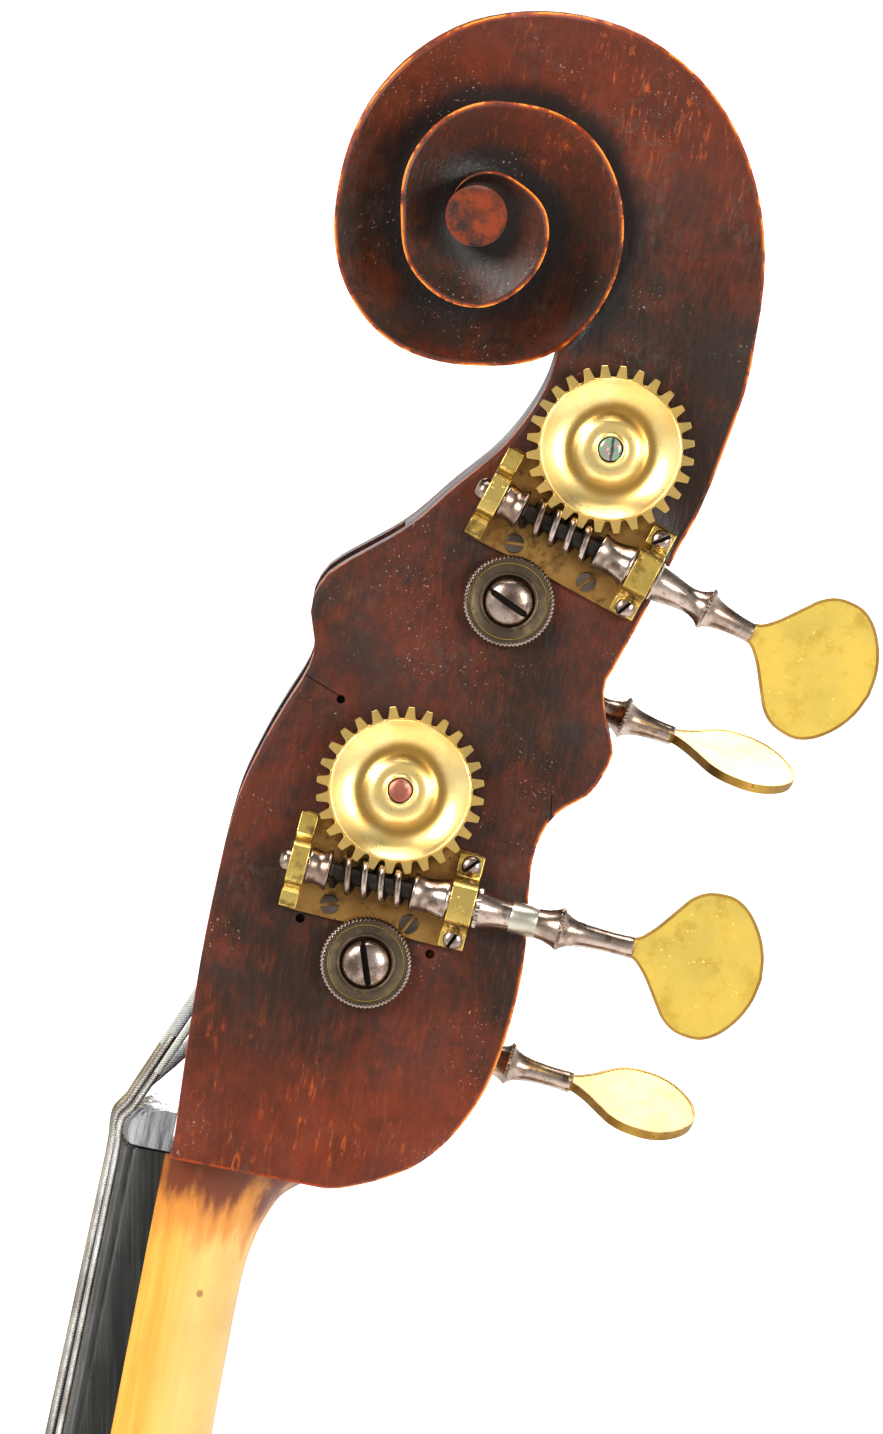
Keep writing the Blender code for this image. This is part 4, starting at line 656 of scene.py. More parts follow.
# (angle, radius) from the eye of the outer edge of each turn
SPIRAL = [(-48, 100.2), (-32.8, 87.7), (-18.6, 80.7), (-11.4, 77.7), (11, 72.9), (27, 69.9), (39, 67.3),
          (56, 62.5), (71, 57.5), (86, 52.9), (101, 48.9), (112, 45.9), (124, 43.0), (139, 40.0),
          (160, 37.1), (181, 35.8), (201, 36.7), (221, 38.2), (245, 39.4), (281, 39.0), (312, 40.8),
          (371, 37.5), (408, 34.9), (440, 30.1), (461, 28.1), (506, 22.5), (551, 19.1), (591, 21.4),
          (641, 23.5), (668, 22.1), (731, 17.9), (764, 14.0), (798, 11.9), (821, 10.5), (860, 8.2),
          (END_ANGLE, EYE_R)]
# (angle, half width across the head) of that edge, and (angle, depth) of the hollow beside it
RIM_HALF = [(-48, 22.6), (11, 22.0), (300, 22.0), (318, 22.2), (371, 26.0), (450, 31.5), (520, 35.5),
            (600, 39.0), (680, 42.0), (760, 44.5), (END_ANGLE, 46.5)]
DISH = [(-48, 0.0), (-10, 1.6), (40, 4.6), (100, 5.5), (300, 6.0), (400, 6.0), (500, 5.0), (640, 4.0),
        (800, 2.0), (END_ANGLE, 0.6)]
PEGBOX_ROWS = 66
TURN_ROWS = 72
THROAT_ANGLE = -48
STATIONS = 15


def cheek_half(n):
    return max(22.0, 33.5 - n * math.tan(CHEEK_TAPER))


def spiral_place(angle):
    radius = table(SPIRAL, angle)
    if angle > END_ANGLE:
        radius = EYE_R
    turn = math.radians(angle)
    return EYE + Vector((math.cos(turn), math.sin(turn))) * radius


def head_rows():
    """Rows across the side of the head: (outer point, inner point, rim half, dish, inner chamfer)."""
    front = spread(smooth(FRONT_EDGE), PEGBOX_ROWS)
    back = spread(smooth(BACK_EDGE), PEGBOX_ROWS)
    rows = []
    for inner, outer in zip(front[:-1], back[:-1]):
        rows.append((outer, inner, None, 0.0, 1.0))
    step = 360 // TURN_ROWS
    for angle in range(THROAT_ANGLE, END_ANGLE + 1, step):
        rim = table(RIM_HALF, angle)
        inner = spiral_place(angle + 360)
        fade = 1.0 - ease(angle, THROAT_ANGLE, THROAT_ANGLE + 25)
        rows.append((spiral_place(angle), inner, rim, table(DISH, angle), fade))
    return rows


def side_profile(outer, inner, rim, dish, chamfer):
    """Points across one row as (place, half width, weight of the painted shade in the hollow)."""
    width = max((inner - outer).length, 1e-6)
    fit = min(1.0, width / 9.0)
    edge = [0.0, 0.45, 1.3, 2.4]
    places = [d * fit / width for d in edge]
    run = STATIONS - len(edge) - 3
    start = places[-1]
    stop = 1.0 - 1.3 * fit / width
    places += [start + (stop - start) * (i + 1) / run for i in range(run)]
    places += [1.0 - 0.45 * fit / width, 1.0 - 0.02 * fit / width]
    places = places[:STATIONS - 1] + [1.0]
    result = []
    for share in places:
        place = outer.lerp(inner, share)
        level = cheek_half(place.y) if rim is None else rim
        away = share * width
        left = (1.0 - share) * width
        t = max(0.0, min(1.0, (away - 0.9 * fit) / max(width - 0.9 * fit, 1e-6)))
        sink = dish * math.sin(0.5 * math.pi * t)
        drop = (1.3 - away / fit) * 0.75 if away < 1.3 * fit else 0.0
        if left < 1.3 * fit:
            drop += (1.3 - left / fit) * 0.75 * chamfer
        result.append((place, level - sink - drop * fit, 1.0 - ease(left, 0.0, 10.5) if dish else 0.0))
    return result


def head_surface():
    """The whole head as one skin: both sides, the fluted back and the front of the pegbox."""
    bm = bmesh.new()
    # weight of the painted shade in each turn's hollow, read by the head's varnish
    hollow = bm.verts.layers.float.new("hollow")
    wear = bm.verts.layers.float.new("wear")
    rows = head_rows()
    sides = {}
    for side in (1, -1):
        skins = []
        for row in rows:
            line = []
            for place, half, depth in side_profile(*row):
                vert = bm.verts.new((side * half, place.x, place.y))
                vert[hollow] = depth
                line.append(vert)
            line[0][wear] = 1.0
            line[1][wear] = 0.8
            line[-1][wear] = row[4]
            line[-2][wear] = 0.8 * row[4]
            skins.append(line)
        sides[side] = skins
        for lower, upper in zip(skins, skins[1:]):
            for i in range(STATIONS - 1):
                bm.faces.new((lower[i], lower[i + 1], upper[i + 1], upper[i]))
        # walls from the floor of each turn up to the rim of the next
        first = PEGBOX_ROWS
        for k in range(first, len(skins) - TURN_ROWS - 1):
            low0, low1 = skins[k][-1], skins[k + 1][-1]
            up0, up1 = skins[k + TURN_ROWS][0], skins[k + 1 + TURN_ROWS][0]
            wall(bm, (low0, low1, up0, up1))
        # the eye
        base = len(skins) - TURN_ROWS - 1
        ring = [skins[base + i][-1] for i in range(TURN_ROWS + 1)]
        levels = []
        for radius, half in ((EYE_R - 0.2, 47.2), (EYE_R - 0.9, 47.9), (EYE_R - 2.0, 48.0), (3.0, 47.6)):
            level = []
            for i in range(TURN_ROWS):
                angle = math.radians(THROAT_ANGLE + (base - first + i) * 360 / TURN_ROWS)
                spot = EYE + Vector((math.cos(angle), math.sin(angle))) * radius
                vert = bm.verts.new((side * half, spot.x, spot.y))
                vert[wear] = 0.42
                level.append(vert)
            levels.append(level)
        for i in range(TURN_ROWS):
            j = (i + 1) % TURN_ROWS
            bm.faces.new((ring[i], ring[i + 1], levels[0][j], levels[0][i]))
            for a, b in zip(levels, levels[1:]):
                bm.faces.new((a[i], a[j], b[j], b[i]))
        bm.faces.new(levels[-1])
    close_head(bm, sides)
    return bm


def wall(bm, corners):
    """A steep wall face, left out where the two turns run level."""
    low0, low1, up0, up1 = corners
    if (up0.co - low0.co).length < 1e-5 and (up1.co - low1.co).length < 1e-5:
        return
    bm.faces.new((low0, low1, up1, up0))


def close_head(bm, sides):
    """The surfaces between the two sides: the back with its flute, the front, and the bottom."""
    across = 14
    plus, minus = sides[1], sides[-1]
    last_outer = PEGBOX_ROWS + TURN_ROWS
    back = []
    for k in range(last_outer + 1):
        a, b = plus[k][0], minus[k][0]
        before = plus[max(k - 1, 0)][0].co
        after = plus[min(k + 1, last_outer)][0].co
        along = (after - before).normalized()
        inward = Vector((0.0, -along.z, along.y))
        flute = 3.4 * ease(k, 22, 60) * (1.0 - ease(k, last_outer - 14, last_outer - 2))
        crown = 1.2 * (1.0 - ease(k, 10, 40))
        line = [a]
        for i in range(1, across):
            share = i / across
            off = abs(2.0 * share - 1.0)
            dip = flute * max(0.0, math.sin(math.pi * min(1.0, off / 0.88))) - crown * (1 - off ** 2)
            line.append(bm.verts.new(a.co.lerp(b.co, share) + inward * dip))
        line.append(b)
        back.append(line)
    front = []
    for k in range(PEGBOX_ROWS + 1):
        a, b = plus[k][-1], minus[k][-1]
        line = [a] + [bm.verts.new(a.co.lerp(b.co, i / across)) for i in range(1, across)] + [b]
        front.append(line)
    for strip in (back, front):
        for lower, upper in zip(strip, strip[1:]):
            for i in range(across):
                bm.faces.new((lower[i], lower[i + 1], upper[i + 1], upper[i]))
    bottom = plus[0][::-1] + back[0][1:] + minus[0][1:] + front[0][-2:0:-1]
    bm.faces.new(bottom)


def machine_axes(name):
    """Place, U (to the key), V (worm to gear) and outward W of one machine, from its joints."""
    place = Vector(joints["roller_turn_" + name]["pos_m"])
    outward = Vector(joints["roller_turn_" + name]["axis"]).normalized()
    along = Vector(joints["key_turn_" + name]["axis"]).normalized()
    return place, along, outward.cross(along) * SIDE[name], outward


def machine_matrix(name):
    """Local x = U, y = V, z = outward on the treble side and inward on the bass side."""
    place, u, v, w = machine_axes(name)
    matrix = Matrix((u, v, w * SIDE[name])).transposed().to_4x4()
    matrix.translation = place
    return matrix


def worm_matrix(name):
    """Local z along the worm's shaft, x along V."""
    u, v = machine_axes(name)[1:3]
    matrix = Matrix((v, u.cross(v), u)).transposed().to_4x4()
    matrix.translation = Vector(joints["key_turn_" + name]["pos_m"])
    return matrix


def roller_span(name):
    return 2.0 * cheek_half(CENTRE[name][1]) * math.cos(CHEEK_TAPER) / math.cos(2.0 * CHEEK_TAPER)


def to_neck(matrix):
    """A world matrix as one in the neck's frame, with lengths in mm."""
    local = NECK.inverted() @ matrix
    local.translation = local.translation / MM
    return local


def make_head():
    bm = head_surface()
    slot = [(-30, 14), (30, 14), (52, 20), (63, 34), (67, 52), (66, 92), (73, 112), (76, 140), (86, 178),
            (92, 204), (86, 214), (75, 216), (64, 208), (52, 186), (40, 169), (-30, 169)]
    outline = [(-30.0, 14.0)] + [tuple(p) for p in smooth(slot[1:-1], 3)] + [(-30.0, 169.0)]
    rows = [[(side * (cheek_half(n) - CHEEK_THICK), b, n) for b, n in outline] for side in (-1, 1)]
    bm = combine(bm, skinned(rows), "DIFFERENCE")
    for name in STRINGS:
        span = roller_span(name)
        near = [(0.01, 5.0), (BARREL_R + 0.4, 5.0), (BARREL_R + 0.4, -18.0), (0.01, -18.0)]
        far = [(0.01, -span / 2), (5.4, -span / 2), (5.4, -span - 6.0), (0.01, -span - 6.0)]
        for profile in (near, far):
            bore = lathed(profile, 28)
            if SIDE[name] < 0:
                mirror(bore)
            bore.transform(to_neck(machine_matrix(name)))
            bm = combine(bm, bore, "DIFFERENCE")
    # old screw holes, the graft's seam and a hairline crack, on the treble cheek
    for b, n, radius in ((22.1, 123.3, 1.1), (22.5, 66.5, 1.2), (56.8, 63.8, 1.2)):
        hole = lathed([(0.01, 40.0), (radius, 40.0), (radius, -3.0), (0.01, -3.0)], 14)
        hole.transform(Matrix.Translation((cheek_half(n) - 4.0, b, n)) @ Matrix.Rotation(math.pi / 2, 4, "Y")
                       @ Matrix.Translation((0.0, 0.0, 1.0)))
        bm = combine(bm, hole, "DIFFERENCE")
    for start, end, width in (((10.0, 128.5), (23.1, 123.5), 0.35), ((79.6, 109.9), (80.9, 100.6), 0.3)):
        run = Vector(end) - Vector(start)
        cut = box_mesh((-0.8, 0.0, -0.5 * width), (1.5, run.length, 0.5 * width))
        cut.transform(Matrix.Translation((cheek_half(start[1]), start[0], start[1]))
                      @ Matrix.Rotation(math.atan2(run.y, run.x), 4, "X"))
        bm = combine(bm, cut, "DIFFERENCE")
    piece("carved_head", bm, "head", "instrument", ["head"], NECK)


# ---------------------------------------------------------------- neck, board and nut
NUT_HALF = 21.5
BOARD_LENGTH = 860.0
BOARD_EDGE = 9.0                   # the fingerboard's side
CROWN_R = 90.0
NECK_STOP = 435.0                  # nut to the top of the body, along the neck
STRING_LENGTH = 1060.0


def neck_half(n):
    return NUT_HALF + 22.5 * (-n) / BOARD_LENGTH


def neck_ring(n_front, n_back, depth, half, count=24):
    ring = []
    for i in range(count + 1):
        angle = math.pi * i / count
        reach = math.sin(angle) ** 0.8 if 0 < i < count else 0.0
        across = math.copysign(abs(math.cos(angle)) ** 0.75, math.cos(angle))
        ring.append((half * across, 0.05 + (depth - 0.05) * reach, n_front + (n_back - n_front) * reach))
    return ring


def world_to_neck(x, y, z):
    dy = y - NUT_Y
    dz = z - NUT_Z
    return (x, dy * math.cos(TILT) - dz * math.sin(TILT), dy * math.sin(TILT) + dz * math.cos(TILT))


def make_neck():
    rows = [(-0.3, 42.0), (-1.2, 39.5), (-3.0, 36.5), (-7.3, 31.7), (-14.5, 28.4), (-23.0, 26.4),
            (-36.0, 25.5), (-78.0, 25.8), (-120.0, 26.5), (-220.0, 28.5), (-310.0, 32.0), (-350.0, 38.0)]
    fronts = [Vector((n, n, depth, neck_half(n))) for n, depth in rows]
    for world_z, world_y in ((BODY_TOP_Z + 56.0, 5.0), (BODY_TOP_Z + 34.0, 34.0), (BODY_TOP_Z + 5.0, 56.0)):
        _, b, n = world_to_neck(0.0, world_y, world_z)
        n_front = -NECK_STOP + (world_z - BODY_TOP_Z) / math.cos(TILT) + 4.0
        fronts.append(Vector((n_front, n, b, 27.5)))
    bm = skinned([neck_ring(*row) for row in smooth(fronts, 4)])
    piece("neck_shaft", bm, "neck", "instrument", ["neck"], NECK, 50.0)
    # the heel inside the body and its button keep the CAD neck's shape below the shoulder
    cad = frame["nodes"]["neck"]
    button = bmesh.new()
    button.from_mesh(cad.data)
    cut = bmesh.ops.bisect_plane(button, geom=button.verts[:] + button.edges[:] + button.faces[:],
                                 plane_co=(0.0, 0.0, (BODY_TOP_Z + 12.0) * MM), plane_no=(0.0, 0.0, 1.0),
                                 clear_outer=True)["geom_cut"]
    bmesh.ops.contextual_create(button, geom=[g for g in cut if isinstance(g, bmesh.types.BMEdge)])
    button.transform(Matrix.Scale(1.0 / MM, 4))
    button.transform(to_neck(WORLD))
    piece("neck_heel", button, "neck", "instrument", ["neck"], NECK, 40.0, 1.2)


def crown_ring(half, edge, rise, crown_r, n, low, round_r=1.6, count=18):
    """A board's section: flat underside, straight sides, rounded shoulders and a crowned top."""
    drop = math.sqrt(crown_r ** 2 - half ** 2)
    top = -edge - rise
    shoulder = [(half, low), (half, top + round_r), (half - 0.3 * round_r, top + 0.3 * round_r)]
    inner = half - round_r
    crown = []
    for i in range(count + 1):
        x = inner * (1.0 - 2.0 * i / count)
        crown.append((x, top - (math.sqrt(crown_r ** 2 - x ** 2) - drop)))
    return [(x, b, n) for x, b in shoulder + crown + [(-x, b) for x, b in shoulder[::-1]]]


def make_board():
    stations = [-0.3, -1.0, -150.0, -300.0, -450.0, -600.0, -750.0, -856.0, -859.4, -BOARD_LENGTH]
    rows = []
    for n in stations:
        lift = 0.8 if n in (stations[0], stations[-1]) else 0.0
        rows.append(crown_ring(neck_half(n), BOARD_EDGE, -lift, CROWN_R, n, 0.0))
    piece("ebony_board", skinned(rows), "ebony", "instrument", ["fingerboard"], NECK, 40.0)


def board_crown(x):
    """Height of the fingerboard's crown over the neck at x."""
    return BOARD_EDGE + math.sqrt(CROWN_R ** 2 - x ** 2) - math.sqrt(CROWN_R ** 2 - NUT_HALF ** 2)


def nut_height(x, n):
    """b of the nut's crown over the board at x."""
    rise = table([(0.3, 0.2), (2.5, 0.5), (6.0, 0.2), (9.0, -2.0), (10.5, -5.0)], n)
    return -board_crown(x) - rise


def make_nut():
    """The nut, with a shallow groove for each string."""
    rows = []
    count = 96
    for n in (0.3, 0.8, 1.6, 2.5, 4.0, 6.0, 7.6, 9.0, 9.9, 10.5):
        ring = [(NUT_HALF, 1.2, n)]
        for i in range(count + 1):
            x = NUT_HALF * (1.0 - 2.0 * i / count)
            b = nut_height(x, n) + 1.6 * ease(abs(x), 19.6, NUT_HALF) + 0.5 * ease(-n, -0.9, -0.3)
            for name in STRINGS:
                reach = STRING_R[name] + 0.25
                away = abs(x - NUT_X[name])
                if away < reach:
                    b += 0.75 * math.sqrt(max(0.0, 1.0 - (away / reach) ** 2))
            ring.append((x, b, n))
        ring.append((-NUT_HALF, 1.2, n))
        rows.append(ring)
    piece("grooved_nut", skinned(rows), "nut", "instrument", ["nut"], NECK, 40.0)


# ---------------------------------------------------------------- tuning machines
TEETH = 28
PITCH = 4.383
WORM_V = -24.2
SLOT_SLOPE = {"g": 20.0, "d": 62.0, "a": -35.5, "e": -82.5}     # degrees, of each roller's screw slot


def handed(name, bm):
    if SIDE[name] < 0:
        mirror(bm)
    return bm


def machine_piece(label, name, bm, finish, node, sharp=35.0, bevel=0.0, segments=2):
    """A piece drawn in a treble machine's own frame; all but the frame's pieces ride on the roller."""
    body = "instrument" if node == "machine_frame" else f"roller_{name}_body"
    piece(f"{label}_{name}", handed(name, bm), finish, body, [f"{node}_{name}"], machine_matrix(name),
          sharp, bevel, segments)


def shaft_piece(label, name, bm, finish, node, sharp=35.0, bevel=0.0, segments=2):
    """A piece drawn along a worm's shaft, riding on its key."""
    piece(f"{label}_{name}", bm, finish, f"key_{name}_body", [f"{node}_{name}"], worm_matrix(name),
          sharp, bevel, segments)


def make_gear(name):
    """Toothed rim, bright raised ring, turned bowl and hub."""
    step = 2.0 * math.pi / TEETH
    flank = [(0.15, 21.4), (0.18, 21.2), (0.31, 18.9), (0.37, 18.5)]
    shape = [(-0.5, 18.35)] + [(-offset, radius) for offset, radius in flank[::-1]] + [(0.0, 21.4)] + flank
    outline = []
    for tooth in range(TEETH):
        middle = -math.pi / 2 + step * (tooth + 0.5)
        outline += [(middle + offset * step, radius) for offset, radius in shape]
    front = smooth([(18.2, 9.15), (18.05, 9.6), (17.7, 9.8), (17.3, 9.55), (16.2, 8.7), (14.4, 7.6),
                    (12.4, 6.85), (10.6, 6.6), (9.2, 6.8), (8.0, 7.35), (7.0, 7.85), (5.9, 8.05), (4.8, 8.1),
                    (4.0, 8.3), (3.6, 8.6), (3.3, 8.5)], 4)

    def ring(radius, height):
        return [(radius * math.cos(a), radius * math.sin(a), height) for a, _ in outline]

    rows = [ring(3.3, 4.8), ring(17.0, 4.8)]
    teeth = [(0.15, 4.8), (0.0, 4.95), (0.0, 9.05), (0.15, 9.2)]
    for inset, height in teeth:
        rows.append([((r - inset) * math.cos(a), (r - inset) * math.sin(a), height) for a, r in outline])
    rows += [ring(radius, height) for radius, height in front]
    rows.append(rows[0])
    machine_piece("toothed_wheel", name, skinned(rows, caps=False), "brass", "gear", sharp=32.0)


def make_roller(name):
    """Boss under the gear, barrel through the pegbox, journal and a domed screw head."""
    span = roller_span(name)
    shoulder = -span + 16.2
    profile = [(0.01, 8.35), (2.9, 8.35), (3.0, 8.2), (3.0, 4.5), (9.3, 4.5), (9.5, 4.3), (9.5, 0.6),
               (9.3, 0.4), (BARREL_R, 0.4), (BARREL_R, shoulder), (5.0, shoulder - 1.0), (5.0, -span - 1.5),
               (0.01, -span - 1.5)]
    machine_piece("roller_barrel", name, lathed(profile, 40), "steel", "roller")
    dome = [(6.2, 2.4), (6.2, 3.0), (5.95, 3.6), (5.2, 4.35), (4.0, 4.95), (2.4, 5.35), (1.0, 5.52)]
    head = [(0.01, 1.6), (6.0, 1.7)] + [tuple(p) for p in smooth(dome, 4)] + [(0.01, 5.54)]
    slope = math.radians(SLOT_SLOPE[name])
    place = machine_matrix(name).to_3x3().inverted() @ Vector((0.0, math.cos(slope), math.sin(slope)))
    slot = [(-5.3, -0.45), (-4.6, -0.85), (4.6, -0.85), (5.3, -0.45), (5.3, 0.45), (4.6, 0.85),
            (-4.6, 0.85), (-5.3, 0.45)]
    bm = cut_slot(lathed(head, 64), slot, 3.3, math.atan2(place.y, place.x))
    mirror(bm)
    bm.transform(Matrix.Translation((0.0, 0.0, -span)))
    machine_piece("roller_screw", name, bm, "screw_steel", "roller", 30.0, 0.12)
    inlay = [(0.01, 8.45), (2.95, 8.45), (2.95, 8.75), (2.7, 8.95), (1.5, 9.05), (0.01, 9.08)]
    finish = "shell" if name in ("d", "a") else "copper"
    machine_piece("hub_inlay", name, lathed(inlay, 36), finish, "roller")


def make_cap(name):
    """The fixed disc round a roller's far end: milled rim, stepped face, raised ring."""
    span = roller_span(name) * MM
    side = SIDE[name]
    end = machine_matrix(name) @ Vector((0.0, 0.0, -span * side))
    outward = Vector((-side * math.cos(CHEEK_TAPER), 0.0, math.sin(CHEEK_TAPER)))
    normal = (NECK.to_3x3() @ outward).normalized()
    matrix = Vector((0.0, 0.0, 1.0)).rotation_difference(normal).to_matrix().to_4x4()
    matrix.translation = end
    per_bead = 6
    steps = 66 * per_bead

    def beaded(depth, beyond):
        """Milled beads of one depth, on every ring wider than beyond."""
        def reach(radius, height, i):
            notch = 0.5 - 0.5 * math.cos(2.0 * math.pi * i / per_bead)
            return radius - depth * notch if radius > beyond else radius
        return reach

    profile = [(6.45, 0.3), (7.8, 0.3), (7.8, 2.3), (11.2, 2.3), (11.7, 2.5), (11.9, 2.9), (11.9, 3.5),
               (11.6, 3.95), (11.1, 4.15), (10.9, 3.85), (10.6, 3.8), (10.2, 3.9), (9.95, 3.9), (9.85, 3.72),
               (9.65, 3.72), (9.55, 3.8), (8.2, 3.45), (7.6, 3.4), (7.45, 3.6), (7.2, 3.68), (6.9, 3.6),
               (6.6, 3.3), (6.45, 2.9), (6.45, 0.3)]
    bm = lathed(profile, steps, beaded(0.42, 11.4))
    nodes = ["end_cap_" + name]
    piece("cap_disc_" + name, bm, "gunmetal", "instrument", nodes, matrix, 40.0)
    bead = [(10.95, 2.7), (11.42, 2.62), (11.9, 2.95), (11.9, 3.5), (11.62, 3.98), (11.15, 4.2), (10.98, 4.1),
            (10.95, 2.7)]
    bm = lathed(bead, steps, beaded(0.36, 11.1))
    piece("cap_rim_" + name, bm, "screw_steel", "instrument", nodes, matrix, 60.0)
    line = [(9.88, 3.8), (9.82, 3.96), (9.68, 3.96), (9.62, 3.8), (9.88, 3.8)]
    bm = lathed(line, 120)
    piece("cap_line_" + name, bm, "bearing_brass", "instrument", nodes, matrix, 60.0)


def arch_outline(low, high, foot):
    """A bearing's section in v and w."""
    right = [(high, foot), (high, 4.2), (high - 0.5, 4.6), (WORM_V + 7.7, 4.9), (WORM_V + 6.8, 5.7),
             (WORM_V + 6.3, 7.5), (WORM_V + 5.9, 9.6), (WORM_V + 5.3, 11.0), (WORM_V + 4.4, 11.8),
             (WORM_V + 2.2, 12.2), (WORM_V, 12.3)]
    left = [(2.0 * WORM_V - v, w) for v, w in right[::-1][1:-3]]
    left += [(low + 0.5, 4.6), (low, 4.2), (low, foot)]
    return right + left


def screw(name, label, u, v, w, radius, height, turn, finish, dome=True):
    """A slotted screw head on a machine's frame."""
    if dome:
        profile = [(0.01, w - 0.3), (radius, w - 0.3), (radius, w + 0.25), (radius * 0.92, w + 0.5 * height),
                   (radius * 0.7, w + 0.8 * height), (radius * 0.4, w + 0.95 * height), (0.01, w + height)]
    else:
        profile = [(0.01, w - 0.3), (radius, w - 0.3), (radius, w + height - 0.15),
                   (radius - 0.2, w + height), (0.01, w + height)]
    floor = w + height - (1.3 if dome else 0.5)
    long, half = radius + 1.0, 0.17 * radius
    bm = cut_slot(lathed(profile, 32), [(-long, -half), (long, -half), (long, half), (-long, half)], floor,
                  math.radians(turn))
    bm.transform(Matrix.Translation((u, v, 0.0)))
    machine_piece(label, name, bm, finish, "machine_frame", 30.0, 0.08, 1)


def make_frame(name):
    """The plate on the cheek, two bearings for the worm, and their screws."""
    left, right = -23.0, 25.5
    low, high = WORM_V - 12.2, WORM_V + 13.2
    corner = 2.2
    outline = []
    for cx, cy, start in ((right - corner, high - corner, 0), (left + corner, high - corner, 90),
                          (left + corner, low + corner, 180), (right - corner, low + corner, 270)):
        for i in range(7):
            angle = math.radians(start + 15 * i)
            outline.append((cx + corner * math.cos(angle), cy + corner * math.sin(angle)))
    bm = slab(outline, 0.3, 2.0)
    machine_piece("cheek_plate", name, bm, "plate_brass", "machine_frame", 35.0, 0.35, 3)
    hole = [(WORM_V + 3.35 * math.cos(a), 7.3 + 3.35 * math.sin(a))
            for a in (2.0 * math.pi * i / 36 for i in range(36))]
    for label, start, width in (("inner_bearing", left, 4.6), ("outer_bearing", right - 6.6, 6.6)):
        block = slab(arch_outline(low + 0.3, high - 0.3, 1.9), start, start + width)
        block = combine(block, slab(hole, start - 1.0, start + 7.0), "DIFFERENCE")
        # drawn in v and w, stood up along u
        block.transform(Matrix(((0, 0, 1, 0), (1, 0, 0, 0), (0, 1, 0, 0), (0, 0, 0, 1))))
        machine_piece(label, name, block, "bearing_brass", "machine_frame", 30.0, 0.4, 3)
    for k, v in enumerate((WORM_V - 9.4, WORM_V + 9.9)):
        turn = 68.0 - 18.0 * k
        screw(name, f"outer_bearing_screw_{k + 1}", right - 3.1, v, 4.6, 2.65, 1.6, turn, "screw_steel")
    for k, (u, turn) in enumerate(((-10.2, 20.0), (10.6, 65.0))):
        screw(name, f"plate_screw_{k + 1}", u, -32.7, 2.0, 2.5, 0.45, turn, "dark_screw", dome=False)


def thread(start, end, per_turn=30):
    """The worm's thread as one closed ridge, tapering out at both ends."""
    first = math.ceil(start / PITCH * per_turn)
    last = math.floor(end / PITCH * per_turn)
    rows = []
    for step in range(first, last + 1):
        angle = 2.0 * math.pi * step / per_turn
        along = PITCH * step / per_turn
        tip = THREAD_TIP - 1.6 * (1.0 - ease(min(step - first, last - step), 0, per_turn * 0.3))
        flank = [(tip - 0.05, 0.32), (tip - 0.3, 0.62), (tip - 0.9, 0.82), (THREAD_ROOT, 1.15)]
        ridge = [(radius, -offset) for radius, offset in flank[::-1]] + [(tip, 0.0)] + flank
        rows.append([(radius * math.cos(angle), radius * math.sin(angle), along + offset)
                     for radius, offset in ridge])
    return skinned(rows)


BEARING_END = 25.9
KNURL_R = 5.45
KEY_AT = {"g": 66.8, "d": 53.4, "a": 53.8, "e": 61.8}
THREAD_TIP = 5.25
THREAD_ROOT = 1.8                  # inside the worm's core
# (radius, distance along the worm's axis) of the shaft outside the bearing
LONG_SHAFT = [(5.45, 26.4), (5.35, 27.0), (4.9, 28.8), (4.4, 31.0), (4.0, 33.5), (3.8, 36.0), (3.75, 39.0),
              (3.8, 42.0), (4.1, 44.4), (4.7, 46.4), (5.3, 47.6), (KNURL_R, 48.0), (KNURL_R, 48.5),
              (4.9, 49.0), (4.2, 50.2), (3.6, 52.2), (3.15, 55.0), (2.9, 58.5), (2.75, 62.0), (2.8, 64.8),
              (2.9, 66.2), (2.9, 66.5)]
SHORT_SHAFT = [(4.85, 26.4), (4.8, 27.2), (4.45, 29.2), (4.0, 31.4), (3.6, 33.8), (3.45, 35.6), (3.6, 37.2),
               (4.1, 38.8), (4.9, 40.0), (KNURL_R, 40.5), (KNURL_R, 41.0), (4.7, 41.6), (3.9, 43.2),
               (3.35, 45.4), (2.95, 48.0), (2.75, 50.6), (2.7, 52.4), (2.7, 53.1)]


